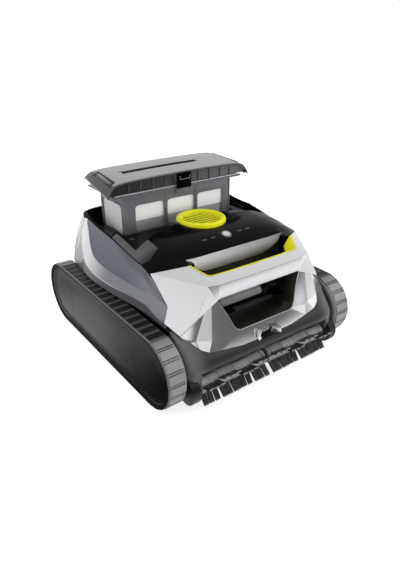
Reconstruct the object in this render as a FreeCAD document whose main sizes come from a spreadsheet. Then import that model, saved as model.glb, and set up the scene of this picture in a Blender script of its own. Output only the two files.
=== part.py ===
import FreeCAD, Part
import Sketcher
import math
import os
import re

# Tracked robotic pool cleaner.  Millimetres.  +Z up, -Y is the front (brush side), +X is right.
# Machine coordinates have their origin on the floor, midway between the wheel axles.
# Every piece is then placed by frame_shift along Y, which centres the overall box on the origin.

doc = FreeCAD.newDocument("pool_cleaner")
sheet = doc.addObject("Spreadsheet::Sheet", "sizes")

SIZES = {
    # tracks and wheels
    "overall_width": 440.0,        # over the outer faces of the two track belts
    "wheel_base": 358.7,           # front axle to rear axle
    "track_width": 42.6,           # width of one belt
    "track_radius": 68.0,          # over the lugs, round a wheel; also the axle height
    "lug_height": 4.0,
    "lug_count": 52.0,
    "belt_thickness": 6.0,         # under the lugs
    "belt_clearance": 0.3,         # wheel to belt
    "wheel_width": 27.0,
    "wheel_rim": 5.0,
    "wheel_web": 4.0,
    "wheel_hub_radius": 14.0,
    "wheel_side_gap": 2.4,         # belt's inner edge to the wheel
    "axle_radius": 6.0,
    "running_clearance": 0.05,     # radial, shaft in bore
    "track_cover_thickness": 8.0,
    "track_cover_inset": 1.5,      # cover's outer face inside the belt's outer edge
    "track_cover_gap": 0.5,        # cover to belt
    # gears
    "gear_module": 2.0,
    "wheel_gear_teeth": 36.0,
    "brush_gear_teeth": 21.0,
    "pinion_teeth": 12.0,
    "gear_width": 8.0,
    "gear_side_gap": 1.2,          # gear to the wall beside it
    "gear_backlash": 0.5,
    "pinion_shaft_radius": 4.0,
    # hull
    "wall": 3.0,
    "hull_side_gap": 0.5,          # gear case to belt
    "gear_case_width": 16.6,
    "gear_case_radius": 50.0,
    "gear_case_wall": 2.0,
    "hull_bottom": 22.0,           # ground clearance under the hull
    "track_top_gap": 0.7,          # hull's top over the tracks
    "hull_nose": 7.65,             # hull ahead of the front axles
    "hull_tail": 20.65,            # hull behind the rear axles
    "rim_width": 4.0,              # thickness of the hull's top flange
    "cover_thickness": 4.0,        # bottom cover
    "battery_height": 70.0,
    "piece_gap": 0.3,              # between separate mouldings
    # brush
    "brush_axis_height": 40.0,
    "brush_core_radius": 15.0,
    "brush_tip_radius": 38.0,
    "brush_side_gap": 8.3,         # blades to the gear case
    "brush_centre_gap": 8.0,       # between the two halves
    "brush_stub_radius": 7.0,
    "blade_thickness": 3.0,
    "blade_sleeve": 2.5,
    "blade_rows": 6.0,
    "bumper_overhang": 17.5,       # bumper ahead of the brush axis
    "bumper_height": 34.0,
    "brush_arch_clearance": 3.0,   # bumper to blade tips
    # body
    "deck_side_inset": 49.2,       # deck's edge inside the tracks' outer faces
    "flank_spread": 23.0,          # how far the flanks lean out below the deck
    "deck_front_inset": 34.35,     # deck's front edge behind the front axles
    "deck_rear_inset": 34.35,      # deck's rear edge ahead of the rear axles
    "recess_side_border": 18.8,    # deck's edge to the sunk step
    "recess_lead": 76.0,           # sunk step's front to the canister
    "ledge_rise": 96.3,            # canister's ledge over the hull
    "crown_rise": 25.0,            # deck's crown over the ledge
    "deck_edge_rise": 9.0,         # deck's side edge over the ledge
    "deck_skirt": 28.0,            # how far the deck's sides reach below the ledge
    "fascia_gap": 21.0,            # fascia plate to the handle band
    "fascia_side_border": 57.8,    # deck's edge to the fascia plate's end
    "band_lead": 20.65,            # rear edge of the handle band ahead of the front axles
    "band_drop": 51.0,             # handle band's underside below the ledge
    "band_depth": 21.0,
    "lower_recess_height": 60.0,
    "lower_recess_border": 88.8,   # deck's edge to the end of the recess
    "panel_rise": 27.3,            # flank panel's lower edge over the hull
    "panel_drop": 7.0,             # flank panel's upper edge below the ledge
    "socket_x": 60.0,
    "socket_rise": 20.3,           # charging inlet over the hull's top
    "socket_radius": 14.0,
    "panel_thickness": 2.0,
    # pump
    "pump_gap": 10.5,              # duct to the well's wall
    "duct_radius": 50.0,
    "duct_wall": 3.5,
    "duct_rise": 21.3,             # duct's floor over the hull's top
    "duct_window": 25.0,           # half width of the way from the well to the duct
    "outlet_rise": 13.0,           # duct's rim over the ledge
    "grille_height": 12.0,
    "propeller_radius": 43.0,
    "propeller_hub_radius": 12.0,
    "pump_motor_radius": 36.0,
    "pump_shaft_radius": 4.0,
    # canister
    "flange_overhang": 9.4,        # flange past the sunk step
    "flange_reach": 30.4,          # flange past the basket's wall
    "canister_length": 105.0,
    "canister_rear_gap": 7.0,      # basket to the deck's rear edge
    "canister_bottom": 29.0,       # seated
    "canister_raise": 72.0,        # how far it is lifted at rest
    "canister_wall": 3.0,
    "flange_thickness": 3.0,
    "well_clearance": 5.0,
    "well_wall": 2.5,
    "mesh_thickness": 0.8,
    "mouth_half_width": 60.0,      # suction mouth
    "mouth_front": 60.0,
    "mouth_length": 30.0,
    "flap_thickness": 1.6,
    "flap_pin_radius": 2.0,
    # lid
    "lid_lead": 11.4,              # lid ahead of the basket
    "lid_tail": 5.0,               # lid behind the basket
    "lid_side_overhang": 7.4,      # lid past the flange
    "lid_wall": 2.5,
    "lid_pin_radius": 2.0,
    "latch_width": 28.0,
    # button
    "button_setback": 31.0,        # button behind the deck's front edge
    "button_radius": 8.0,
    "bezel_width": 3.0,
    # fasteners
    "screw_head_radius": 3.5,
    "screw_head_height": 2.0,
    "screw_radius": 1.9,
    "hook_half_width": 27.0,
}

for row, (alias, value) in enumerate(SIZES.items(), start=1):
    sheet.set(f"A{row}", alias)
    sheet.set(f"B{row}", str(value))
    sheet.setAlias(f"B{row}", alias)
doc.recompute()

ALIAS_WORD = re.compile(r"[a-z][a-z_0-9]*")

# Places that several pieces share, as formulas of the sheet's values.
PLACES = {
    "frame_shift": "(brush_reach - half_length) / 2",
    "brush_reach": "brush_ahead + brush_tip_radius",
    "half_length": "wheel_base / 2 + track_radius",
    "axle_y": "wheel_base / 2",
    "belt_outer": "track_radius - lug_height",
    "belt_inner": "belt_outer - belt_thickness",
    "track_in": "overall_width / 2 - track_width",
    "track_out": "overall_width / 2",
    "wheel_radius": "belt_inner - belt_clearance",
    "wheel_in": "track_in + wheel_side_gap",
    "wheel_out": "wheel_in + wheel_width",
    "cover_out": "track_out - track_cover_inset",
    "cover_in": "cover_out - track_cover_thickness",
    "case_out": "track_in - hull_side_gap",
    "case_in": "case_out - gear_case_width",
    "gear_in": "case_in + gear_case_wall + gear_side_gap",
    "gear_out": "gear_in + gear_width",
    "hull_half": "case_in - piece_gap",
    "hull_top": "2 * track_radius + track_top_gap",
    "hull_front": "axle_y + hull_nose",
    "hull_rear": "axle_y + hull_tail",
    "brush_half_length": "case_in - brush_side_gap",
    "bumper_front": "brush_ahead + bumper_overhang",
    "deck_half_width": "track_out - deck_side_inset",
    "deck_front": "axle_y - deck_front_inset",
    "deck_rear": "axle_y - deck_rear_inset",
    "ledge_height": "hull_top + ledge_rise",
    "recess_half_width": "deck_half_width - recess_side_border",
    "recess_front": "recess_lead - canister_front",
    "band_rear": "axle_y + band_lead",
    "band_bottom": "ledge_height - band_drop",
    "fascia_front": "band_rear - fascia_gap",
    "fascia_half_width": "deck_half_width - fascia_side_border",
    "lower_recess_bottom": "band_bottom - lower_recess_height",
    "lower_recess_half_width": "deck_half_width - lower_recess_border",
    "pump_y": "well_front - well_wall - duct_radius - pump_gap",
    "duct_bottom": "hull_top + duct_rise",
    "duct_top": "ledge_height + outlet_rise",
    "flange_half_width": "recess_half_width + flange_overhang",
    "canister_half_width": "flange_half_width - flange_reach",
    "canister_rear": "deck_rear - canister_rear_gap",
    "canister_front": "canister_rear - canister_length",
    "canister_height": "ledge_height + flange_thickness - canister_bottom",
    "lid_front": "canister_front - lid_lead",
    "lid_rear": "canister_rear + lid_tail",
    "button_y": "button_setback - deck_front",
    "floor_top": "hull_bottom + wall",
    "brush_drop": "track_radius - brush_axis_height",
    "brush_distance": "gear_module * (wheel_gear_teeth + brush_gear_teeth) / 2",
    "brush_ahead": "axle_y + sqrt(brush_distance ^ 2 - brush_drop ^ 2)",
    "pinion_distance": "gear_module * (wheel_gear_teeth + pinion_teeth) / 2",
    "pinion_y": "-axle_y + pinion_distance",
    "canister_low": "canister_bottom + canister_raise",
    "flange_top": "canister_low + canister_height",
    "well_half": "canister_half_width + well_clearance",
    "well_front": "canister_front - well_clearance",
    "well_rear": "canister_rear + well_clearance",
    "gear_hole": "gear_module * (wheel_gear_teeth / 2 + 1) + 1",
}


def spell(text):
    """Turn a formula of short names into one that names the sheet's cells."""
    def swap(match):
        word = match.group(0)
        if word in SIZES:
            return "sizes." + word
        if word in PLACES:
            return "(" + spell(PLACES[word]) + ")"
        return word
    return ALIAS_WORD.sub(swap, str(text))


def value(text):
    """The number that a formula gives, from the sheet's cells."""
    return float(sheet.evalExpression(spell(text)))


def bind(thing, **formulas):
    """Bind each named property of an object to a formula."""
    for name, formula in formulas.items():
        thing.setExpression(name, spell(formula))


def put(thing, x=None, y=None, z=None):
    for axis, formula in (("x", x), ("y", y), ("z", z)):
        if formula is not None:
            thing.setExpression(f"Placement.Base.{axis}", spell(formula))


def minus(formula):
    return f"-({formula})"


def sided(side, low, high):
    """A stretch along X given for the right side, mirrored for the left."""
    return (low, high) if side > 0 else (minus(high), minus(low))


# ---------------------------------------------------------------- small makers

NODES = []
OWN_Y = {}                         # the Y formula of each primitive, by its object name


def new(kind, name):
    return doc.addObject(kind, name)


def box(name, x, y, z):
    """A box from three (low, high) pairs of formulas."""
    thing = new("Part::Box", name)
    bind(thing, Length=f"({x[1]}) - ({x[0]})", Width=f"({y[1]}) - ({y[0]})",
         Height=f"({z[1]}) - ({z[0]})")
    put(thing, x[0], y[0], z[0])
    OWN_Y[thing.Name] = y[0]
    return thing


def rod(name, axis, along, centre, radius):
    """A cylinder along X, Y or Z from along[0] to along[1]; centre holds the other two places."""
    thing = new("Part::Cylinder", name)
    bind(thing, Radius=radius, Height=f"({along[1]}) - ({along[0]})")
    if axis == "x":
        thing.Placement.Rotation = FreeCAD.Rotation(FreeCAD.Vector(0, 1, 0), 90)
        put(thing, along[0], centre[0], centre[1])
    elif axis == "y":
        thing.Placement.Rotation = FreeCAD.Rotation(FreeCAD.Vector(1, 0, 0), -90)
        put(thing, centre[0], along[0], centre[1])
    else:
        put(thing, centre[0], centre[1], along[0])
    OWN_Y[thing.Name] = {"x": centre[0], "y": along[0], "z": centre[1]}[axis]
    return thing


def fuse(name, *pieces):
    thing = new("Part::MultiFuse", name)
    thing.Shapes = list(pieces)
    return thing


def cut(name, base, *tools):
    thing = new("Part::Cut", name)
    thing.Base = base
    thing.Tool = tools[0] if len(tools) == 1 else fuse(name + "_tools", *tools)
    return thing


def coded(name, shape):
    """A feature whose shape is set in code."""
    thing = new("Part::Feature", name)
    thing.Shape = shape
    return thing


def node(label, thing):
    """Name a finished piece, place it in the part's frame and keep it."""
    thing.Label = label
    put(thing, y=f"frame_shift + ({OWN_Y.get(thing.Name, 0)})")
    NODES.append(thing)
    return thing


def polygon(points):
    return Part.Face(Part.makePolygon(points + points[:1]))


def prism_x(points, low, high):
    """A profile of (y, z) points, extruded along X from low to high."""
    face = polygon([FreeCAD.Vector(low, y, z) for y, z in points])
    return face.extrude(FreeCAD.Vector(high - low, 0, 0))


def stadium(radius, half_span, height, low, high):
    """A solid with two round ends about the wheel axles, along X from low to high."""
    length = FreeCAD.Vector(high - low, 0, 0)
    corners = [(-half_span, -radius), (half_span, -radius), (half_span, radius), (-half_span, radius)]
    points = [FreeCAD.Vector(low, y, height + z) for y, z in corners]
    front = FreeCAD.Vector(low, -half_span - radius, height)
    rear = FreeCAD.Vector(low, half_span + radius, height)
    edges = [
        Part.LineSegment(points[0], points[1]).toShape(),
        Part.Arc(points[1], rear, points[2]).toShape(),
        Part.LineSegment(points[2], points[3]).toShape(),
        Part.Arc(points[3], front, points[0]).toShape(),
    ]
    return Part.Face(Part.Wire(edges)).extrude(length)


def origin_plane(body, role):
    return next(part for part in body.Origin.OriginFeatures if part.Role == role)


# ---------------------------------------------------------------- tracks, wheels and gears

def track_loop(distance, radius, half_span):
    """A point and its outward direction, a distance along the track's centre loop."""
    turn = math.pi * radius
    straight = 2 * half_span
    distance = distance % (2 * straight + 2 * turn)
    if distance < straight:
        return (-half_span + distance, -radius), (0.0, -1.0)
    distance -= straight
    if distance < turn:
        angle = -math.pi / 2 + distance / radius
        out = (math.cos(angle), math.sin(angle))
        return (half_span + radius * out[0], radius * out[1]), out
    distance -= turn
    if distance < straight:
        return (half_span - distance, radius), (0.0, 1.0)
    distance -= straight
    angle = math.pi / 2 + distance / radius
    out = (math.cos(angle), math.sin(angle))
    return (-half_span + radius * out[0], radius * out[1]), out


def track_belt(side, label):
    """A rubber belt: a closed band with flat lugs divided by narrow grooves."""
    radius = value("track_radius")
    depth = value("lug_height")
    half_span = value("axle_y")
    lugs = round(value("lug_count"))
    low, high = sorted((side * value("track_in"), side * value("track_out")))
    loop = 4 * half_span + 2 * math.pi * radius
    groove_share = 0.16
    points = []
    for lug in range(lugs):
        for share, sink in ((0, 0), (0.5 - groove_share / 2, 0), (1 - groove_share, 0),
                            (1 - groove_share, depth), (1, depth)):
            spot, out = track_loop((lug + share) * loop / lugs, radius, half_span)
            points.append((spot[0] - sink * out[0], value("track_radius") + spot[1] - sink * out[1]))
    inner = stadium(value("belt_inner"), half_span, value("track_radius"), low, high)
    return node(label, coded(label + "_shape", prism_x(points, low, high).cut(inner)))


def gear_shape(teeth, low, high, y, z, phase):
    """A spur gear along X.  phase is the angle of a tooth's middle, in the YZ plane."""
    module = value("gear_module")
    pitch = module * teeth / 2
    tooth = math.pi * module / 2 - value("gear_backlash")
    points = []
    for index in range(teeth):
        middle = phase + index * 2 * math.pi / teeth
        for reach, width in ((-1.25 * module, 1.62), (0, 1.0), (0.9 * module, 0.52)):
            half = width * tooth / 2 / pitch
            points.append((middle - half, pitch + reach))
        for reach, width in ((0.9 * module, 0.52), (0, 1.0), (-1.25 * module, 1.62)):
            half = width * tooth / 2 / pitch
            points.append((middle + half, pitch + reach))
    outline = [(y + r * math.cos(a), z + r * math.sin(a)) for a, r in points]
    return prism_x(outline, low, high)


def solid_rod(low, high, y, z, radius):
    return Part.makeCylinder(radius, high - low, FreeCAD.Vector(low, y, z), FreeCAD.Vector(1, 0, 0))


def wheel(side, end, label):
    """A wheel with rim, web and hub; the front ones carry the drive gear."""
    y = end * value("axle_y")
    z = value("track_radius")
    low = value("wheel_in")
    high = value("wheel_out")
    hub = value("wheel_hub_radius")
    outer = value("wheel_radius")
    middle = (low + high) / 2
    web = value("wheel_web")
    hub_low = value("case_in + gear_case_wall + 0.6")
    shape = solid_rod(low, high, y, z, outer)
    for start, stop in ((low - 1, middle - web / 2), (middle + web / 2, high + 1)):
        pocket = solid_rod(start, stop, y, z, outer - value("wheel_rim"))
        shape = shape.cut(pocket.cut(solid_rod(start, stop, y, z, hub)))
    for turn in range(6):
        angle = turn * math.pi / 3
        reach = (hub + outer - value("wheel_rim")) / 2
        spot = (y + reach * math.cos(angle), z + reach * math.sin(angle))
        shape = shape.cut(solid_rod(low, high, spot[0], spot[1], hub * 0.75))
    shape = shape.fuse(solid_rod(hub_low, value("cover_in - piece_gap"), y, z, hub))
    if end < 0:
        gear = gear_shape(round(value("wheel_gear_teeth")), value("gear_in"), value("gear_out"), y, z, 0.0)
        neck = solid_rod(value("gear_out") - 1, middle, y, z, value("wheel_gear_teeth * gear_module * 0.4"))
        shape = shape.fuse(gear).fuse(neck)
    bore = solid_rod(hub_low - 1, high + value("track_width"), y, z,
                     value("axle_radius + running_clearance"))
    shape = shape.cut(bore).removeSplitter()
    if side < 0:
        shape = shape.mirror(FreeCAD.Vector(0, 0, 0), FreeCAD.Vector(1, 0, 0))
    return node(label, coded(label + "_shape", shape))


def axle(side, end, label):
    """A steel pin, held in the gear case and in the track cover."""
    along = sided(side, "case_in", "cover_in")
    place = (f"{end} * axle_y", "track_radius")
    return node(label, rod(label + "_pin", "x", along, place, "axle_radius"))


def track_cover(side, label):
    """The flat outer panel inside the belt, with a softened outer edge."""
    body = new("PartDesign::Body", label + "_body")
    sketch = body.newObject("Sketcher::SketchObject", label + "_outline")
    sketch.AttachmentSupport = [(origin_plane(body, "YZ_Plane"), "")]
    sketch.MapMode = "FlatFace"
    span = value("axle_y")
    radius = value("belt_inner - track_cover_gap")
    vector = FreeCAD.Vector
    sketch.addGeometry(Part.LineSegment(vector(-span, -radius, 0), vector(span, -radius, 0)))
    sketch.addGeometry(Part.ArcOfCircle(Part.Circle(vector(span, 0, 0), vector(0, 0, 1), radius),
                                        -math.pi / 2, math.pi / 2))
    sketch.addGeometry(Part.LineSegment(vector(span, radius, 0), vector(-span, radius, 0)))
    sketch.addGeometry(Part.ArcOfCircle(Part.Circle(vector(-span, 0, 0), vector(0, 0, 1), radius),
                                        math.pi / 2, 3 * math.pi / 2))
    for first, second in ((0, 1), (1, 2), (2, 3), (3, 0)):
        near = 2
        far = 1
        sketch.addConstraint(Sketcher.Constraint("Tangent", first, near, second, far))
    sketch.addConstraint(Sketcher.Constraint("PointOnObject", 1, 3, -1))
    sketch.addConstraint(Sketcher.Constraint("PointOnObject", 3, 3, -1))
    sketch.addConstraint(Sketcher.Constraint("DistanceX", -1, 1, 1, 3, span))
    sketch.setExpression(f"Constraints[{sketch.ConstraintCount - 1}]", spell("axle_y"))
    sketch.addConstraint(Sketcher.Constraint("DistanceX", 3, 3, -1, 1, span))
    sketch.setExpression(f"Constraints[{sketch.ConstraintCount - 1}]", spell("axle_y"))
    sketch.addConstraint(Sketcher.Constraint("Radius", 1, radius))
    sketch.setExpression(f"Constraints[{sketch.ConstraintCount - 1}]",
                         spell("belt_inner - track_cover_gap"))
    pad = body.newObject("PartDesign::Pad", label + "_pad")
    pad.Profile = sketch
    bind(pad, Length="track_cover_thickness")
    doc.recompute()
    outer = value("track_cover_thickness") if side > 0 else 0.0
    edges = [f"Edge{index}" for index, edge in enumerate(pad.Shape.Edges, start=1)
             if abs(edge.BoundBox.XMin - outer) < 0.001 and abs(edge.BoundBox.XMax - outer) < 0.001]
    fillet = body.newObject("PartDesign::Fillet", label + "_soft_edge")
    fillet.Base = (pad, edges)
    bind(fillet, Radius="track_cover_thickness / 3")
    body.Tip = fillet
    put(body, sided(side, "cover_in", "cover_out")[0], "0", "track_radius")
    return node(label, body)


def gear_case(side, label):
    """The inner track frame: a shallow hollow case round the drive gears, which holds the axles."""
    low = value("case_in")
    high = value("case_out")
    skin = value("gear_case_wall")
    radius = value("gear_case_radius")
    span = value("axle_y")
    height = value("track_radius")
    brush_y = -value("brush_ahead")
    brush_z = value("brush_axis_height")
    lobe = value("gear_module * (brush_gear_teeth / 2 + 1)") + 1 + skin
    outer = stadium(radius, span, height, low, high).fuse(solid_rod(low, high, brush_y, brush_z, lobe))
    hollow = stadium(radius - skin, span, height, low + skin, high - skin)
    hollow = hollow.fuse(solid_rod(low + skin, high - skin, brush_y, brush_z, lobe - skin))
    shape = outer.cut(hollow)
    gear_hole = value("gear_hole")
    pin = value("axle_radius")
    for end in (-1, 1):
        shape = shape.cut(solid_rod(low - 1, low + skin + 1, end * span, height, pin))
        shape = shape.cut(solid_rod(high - skin - 1, high + 1, end * span, height, gear_hole))
    shaft = value("pinion_shaft_radius + running_clearance")
    shape = shape.cut(solid_rod(low - 1, low + skin + 1, value("pinion_y"), height, shaft))
    stub = value("brush_stub_radius + running_clearance")
    shape = shape.cut(solid_rod(low - 1, low + skin + 1, brush_y, brush_z, stub))
    shape = shape.removeSplitter()
    if side < 0:
        shape = shape.mirror(FreeCAD.Vector(0, 0, 0), FreeCAD.Vector(1, 0, 0))
    return node(label, coded(label + "_shape", shape))


def pinion(side, label):
    """A small gear with its own shaft, which runs in the drive motor's bearing."""
    y = value("pinion_y")
    z = value("track_radius")
    teeth = round(value("pinion_teeth"))
    shape = gear_shape(teeth, value("gear_in"), value("gear_out"), y, z, math.pi + math.pi / teeth)
    shaft = solid_rod(value("hull_half - wall") - value("pump_motor_radius"), value("gear_in") + 1, y, z,
                      value("pinion_shaft_radius"))
    shape = shape.fuse(shaft).removeSplitter()
    if side < 0:
        shape = shape.mirror(FreeCAD.Vector(0, 0, 0), FreeCAD.Vector(1, 0, 0))
    return node(label, coded(label + "_shape", shape))


def drive_motor(side, label):
    """A sealed gearmotor inside the hull, with a bearing bore for the pinion's shaft."""
    place = ("pinion_y", "track_radius")
    can = rod(label + "_can", "x", sided(side, "hull_half - wall - 62", "hull_half - wall"), place, "21")
    nose = rod(label + "_tail", "x", sided(side, "hull_half - wall - 68", "hull_half - wall - 61"),
               place, "9")
    bore_along = sided(side, "hull_half - wall - pump_motor_radius - piece_gap", "hull_half - wall + 1")
    bore = rod(label + "_bore", "x", bore_along, place, "pinion_shaft_radius + running_clearance")
    return node(label, cut(label + "_bored", fuse(label + "_solid", can, nose), bore))


def brush_gear(side, label):
    """The gear that the front wheel's gear turns, fixed on the brush's stub."""
    y = -value("brush_ahead")
    z = value("brush_axis_height")
    teeth = round(value("brush_gear_teeth"))
    to_wheel = math.atan2(value("brush_drop"), value("brush_ahead - axle_y"))
    wheel_teeth = round(value("wheel_gear_teeth"))
    turn = 2 * math.pi / wheel_teeth
    line = math.pi + to_wheel
    offset = (line / turn - round(line / turn)) * wheel_teeth / teeth * turn
    phase = to_wheel + math.pi / teeth + offset
    shape = gear_shape(teeth, value("gear_in"), value("gear_out"), y, z, phase)
    shape = shape.cut(solid_rod(value("gear_in") - 1, value("gear_out") + 1, y, z,
                                value("brush_stub_radius")))
    if side < 0:
        shape = shape.mirror(FreeCAD.Vector(0, 0, 0), FreeCAD.Vector(1, 0, 0))
    return node(label, coded(label + "_shape", shape))


def brush_core(side, label):
    """Half of the brush roller, with a stub for its gear and a bore for the centre bearing."""
    place = (minus("brush_ahead"), "brush_axis_height")
    tube = rod(label + "_tube", "x", sided(side, "brush_centre_gap / 2", "brush_half_length"), place,
               "brush_core_radius")
    stub = rod(label + "_stub", "x", sided(side, "brush_half_length - 1", "gear_out"), place,
               "brush_stub_radius")
    bore = rod(label + "_bore", "x", sided(side, "brush_centre_gap / 2 - 1", "brush_centre_gap / 2 + 13"),
               place, "axle_radius + running_clearance")
    return node(label, cut(label + "_bored", fuse(label + "_solid", tube, stub), bore))


def brush_blades(side, label):
    """A soft sleeve on the roller with rows of flat blades, split into broad fingers."""
    low = value("brush_centre_gap / 2")
    high = value("brush_half_length")
    y = -value("brush_ahead")
    z = value("brush_axis_height")
    core = value("brush_core_radius")
    sleeve = core + value("blade_sleeve")
    tip = value("brush_tip_radius")
    thick = value("blade_thickness")
    shape = solid_rod(low, high, y, z, sleeve)
    rows = round(value("blade_rows"))
    bands = 4
    pitch = (high - low) / bands
    for band in range(bands):
        start = low + band * pitch + 1
        for row in range(rows):
            angle = (row + 0.5 * (band % 2)) * 360 / rows
            blade = Part.makeBox(pitch - 2, tip - core - 0.5, thick,
                                 FreeCAD.Vector(start, core + 0.5, -thick / 2))
            blade.rotate(FreeCAD.Vector(0, 0, 0), FreeCAD.Vector(1, 0, 0), angle)
            blade.translate(FreeCAD.Vector(0, y, z))
            shape = shape.fuse(blade)
    shape = shape.cut(solid_rod(low - 1, high + 1, y, z, core)).removeSplitter()
    if side < 0:
        shape = shape.mirror(FreeCAD.Vector(0, 0, 0), FreeCAD.Vector(1, 0, 0))
    return node(label, coded(label + "_shape", shape))


for side, hand in ((-1, "left"), (1, "right")):
    track_belt(side, f"{hand}_track_belt")
    track_cover(side, f"{hand}_track_cover")
    gear_case(side, f"{hand}_gear_case")
    for end, place in ((-1, "front"), (1, "rear")):
        wheel(side, end, f"{place}_{hand}_wheel")
        axle(side, end, f"{place}_{hand}_axle")
    pinion(side, f"{hand}_drive_pinion")
    drive_motor(side, f"{hand}_drive_motor")
    brush_core(side, f"{hand}_brush_core")
    brush_gear(side, f"{hand}_brush_gear")
    brush_blades(side, f"{hand}_brush_blades")


# ---------------------------------------------------------------- hull

def lower_hull():
    """The tub between the tracks: floor, walls and a top flange."""
    half = "hull_half"
    ahead = minus("hull_front")
    outer = box("hull_outer", (minus(half), half), (ahead, "hull_rear"), ("hull_bottom", "hull_top"))
    inner = box("hull_inner", (minus("hull_half - wall"), "hull_half - wall"),
                ("-hull_front + wall", "hull_rear - wall"), ("floor_top", "hull_top + 1"))
    flange = box("hull_flange", (minus("case_out"), "case_out"), (ahead, "hull_rear"),
                 ("hull_top - rim_width", "hull_top"))
    flange_hole = box("hull_flange_hole", (minus("hull_half - wall"), "hull_half - wall"),
                      ("-hull_front + wall", "hull_rear - wall"), ("hull_top - rim_width - 1", "hull_top + 1"))
    mouth = box("hull_mouth", ("-mouth_half_width", "mouth_half_width"),
                ("mouth_front", "mouth_front + mouth_length"), ("hull_bottom - 1", "floor_top + 1"))
    tools = [inner, mouth]
    for side in (-1, 1):
        along = sided(side, "hull_half - wall - 1", "hull_half + 1")
        tools.append(rod(f"hull_shaft_hole_{side + 2}", "x", along, ("pinion_y", "track_radius"),
                         "pinion_shaft_radius + running_clearance"))
    tub = cut("hull_tub", outer, *tools)
    ring = cut("hull_ring", flange, flange_hole)
    return node("lower_hull", fuse("hull_piece", tub, ring))


def bottom_cover():
    """The plate under the hull, with the suction mouth."""
    plate = box("cover_plate", ("-hull_half + 12", "hull_half - 12"), ("-hull_front + 30", "hull_rear - 20"),
                ("hull_bottom - cover_thickness", "hull_bottom"))
    mouth = box("cover_mouth", ("-mouth_half_width", "mouth_half_width"),
                ("mouth_front", "mouth_front + mouth_length"),
                ("hull_bottom - cover_thickness - 1", "hull_bottom + 1"))
    holes = [rod(f"cover_hole_{index}", "z", ("hull_bottom - cover_thickness - 1", "hull_bottom + 1"),
                 place, "screw_radius") for index, place in enumerate(screw_places())]
    return node("bottom_cover", cut("cover_piece", plate, mouth, *holes))


def screw_places():
    """Where the bottom cover is screwed to the hull, as (x, y) formulas."""
    return [(f"{side} * (hull_half - 22)", y) for side in (-1, 1)
            for y in ("-hull_front + 40", "-20", "hull_rear - 30")]


def housing_screws():
    """Identical pan-head screws: six under the bottom cover, two at the axles of each track cover."""
    pieces = []
    low = "hull_bottom - cover_thickness"
    for index, place in enumerate(screw_places()):
        head = rod(f"screw_head_{index}", "z", (f"{low} - screw_head_height", low), place, "screw_head_radius")
        shank = rod(f"screw_shank_{index}", "z", (f"{low} - 0.1", "hull_bottom"), place, "screw_radius")
        pieces.append(fuse(f"screw_{index}", head, shank))
    screws = new("Part::Compound", "housing_screw_group")
    screws.Links = pieces
    return node("housing_screws", screws)


def front_bumper():
    """The satin bar above the brush, hollowed to clear the blade tips."""
    block = box("bumper_block", ("-hull_half", "hull_half"),
                (minus("bumper_front"), "-hull_front - piece_gap"), ("bumper_low", "bumper_top"))
    arch = rod("bumper_arch", "x", ("-hull_half - 1", "hull_half + 1"),
               (minus("brush_ahead"), "brush_axis_height"), "brush_tip_radius + brush_arch_clearance")
    return node("front_bumper", cut("bumper_piece", block, arch))


def brush_centre_bearing():
    """A hanger from the hull's front, between the two brush halves, with a pin into each."""
    half = "brush_centre_gap / 2 - piece_gap"
    arm = box("bearing_arm", (minus(half), half), ("-brush_ahead - 8", minus("hull_front")),
              ("brush_axis_height - 8", "brush_axis_height + 8"))
    pin = rod("bearing_pin", "x", ("-brush_centre_gap / 2 - 12", "brush_centre_gap / 2 + 12"),
              (minus("brush_ahead"), "brush_axis_height"), "axle_radius")
    return node("brush_centre_bearing", fuse("bearing_piece", arm, pin))


PLACES["bumper_low"] = "brush_axis_height + brush_tip_radius - 12"
PLACES["bumper_top"] = "bumper_low + bumper_height - 4"
lower_hull()
bottom_cover()
housing_screws()
front_bumper()
brush_centre_bearing()


# ---------------------------------------------------------------- the body's shells

def half_space(point, normal, size=2000.0):
    """A big block on the inner side of a plane; normal points out of the body."""
    normal = FreeCAD.Vector(*normal)
    normal.normalize()
    block = Part.makeBox(2 * size, 2 * size, size, FreeCAD.Vector(-size, -size, -size))
    turn = FreeCAD.Rotation(FreeCAD.Vector(0, 0, 1), normal)
    block.Placement = FreeCAD.Placement(FreeCAD.Vector(*point), turn)
    return block


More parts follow.
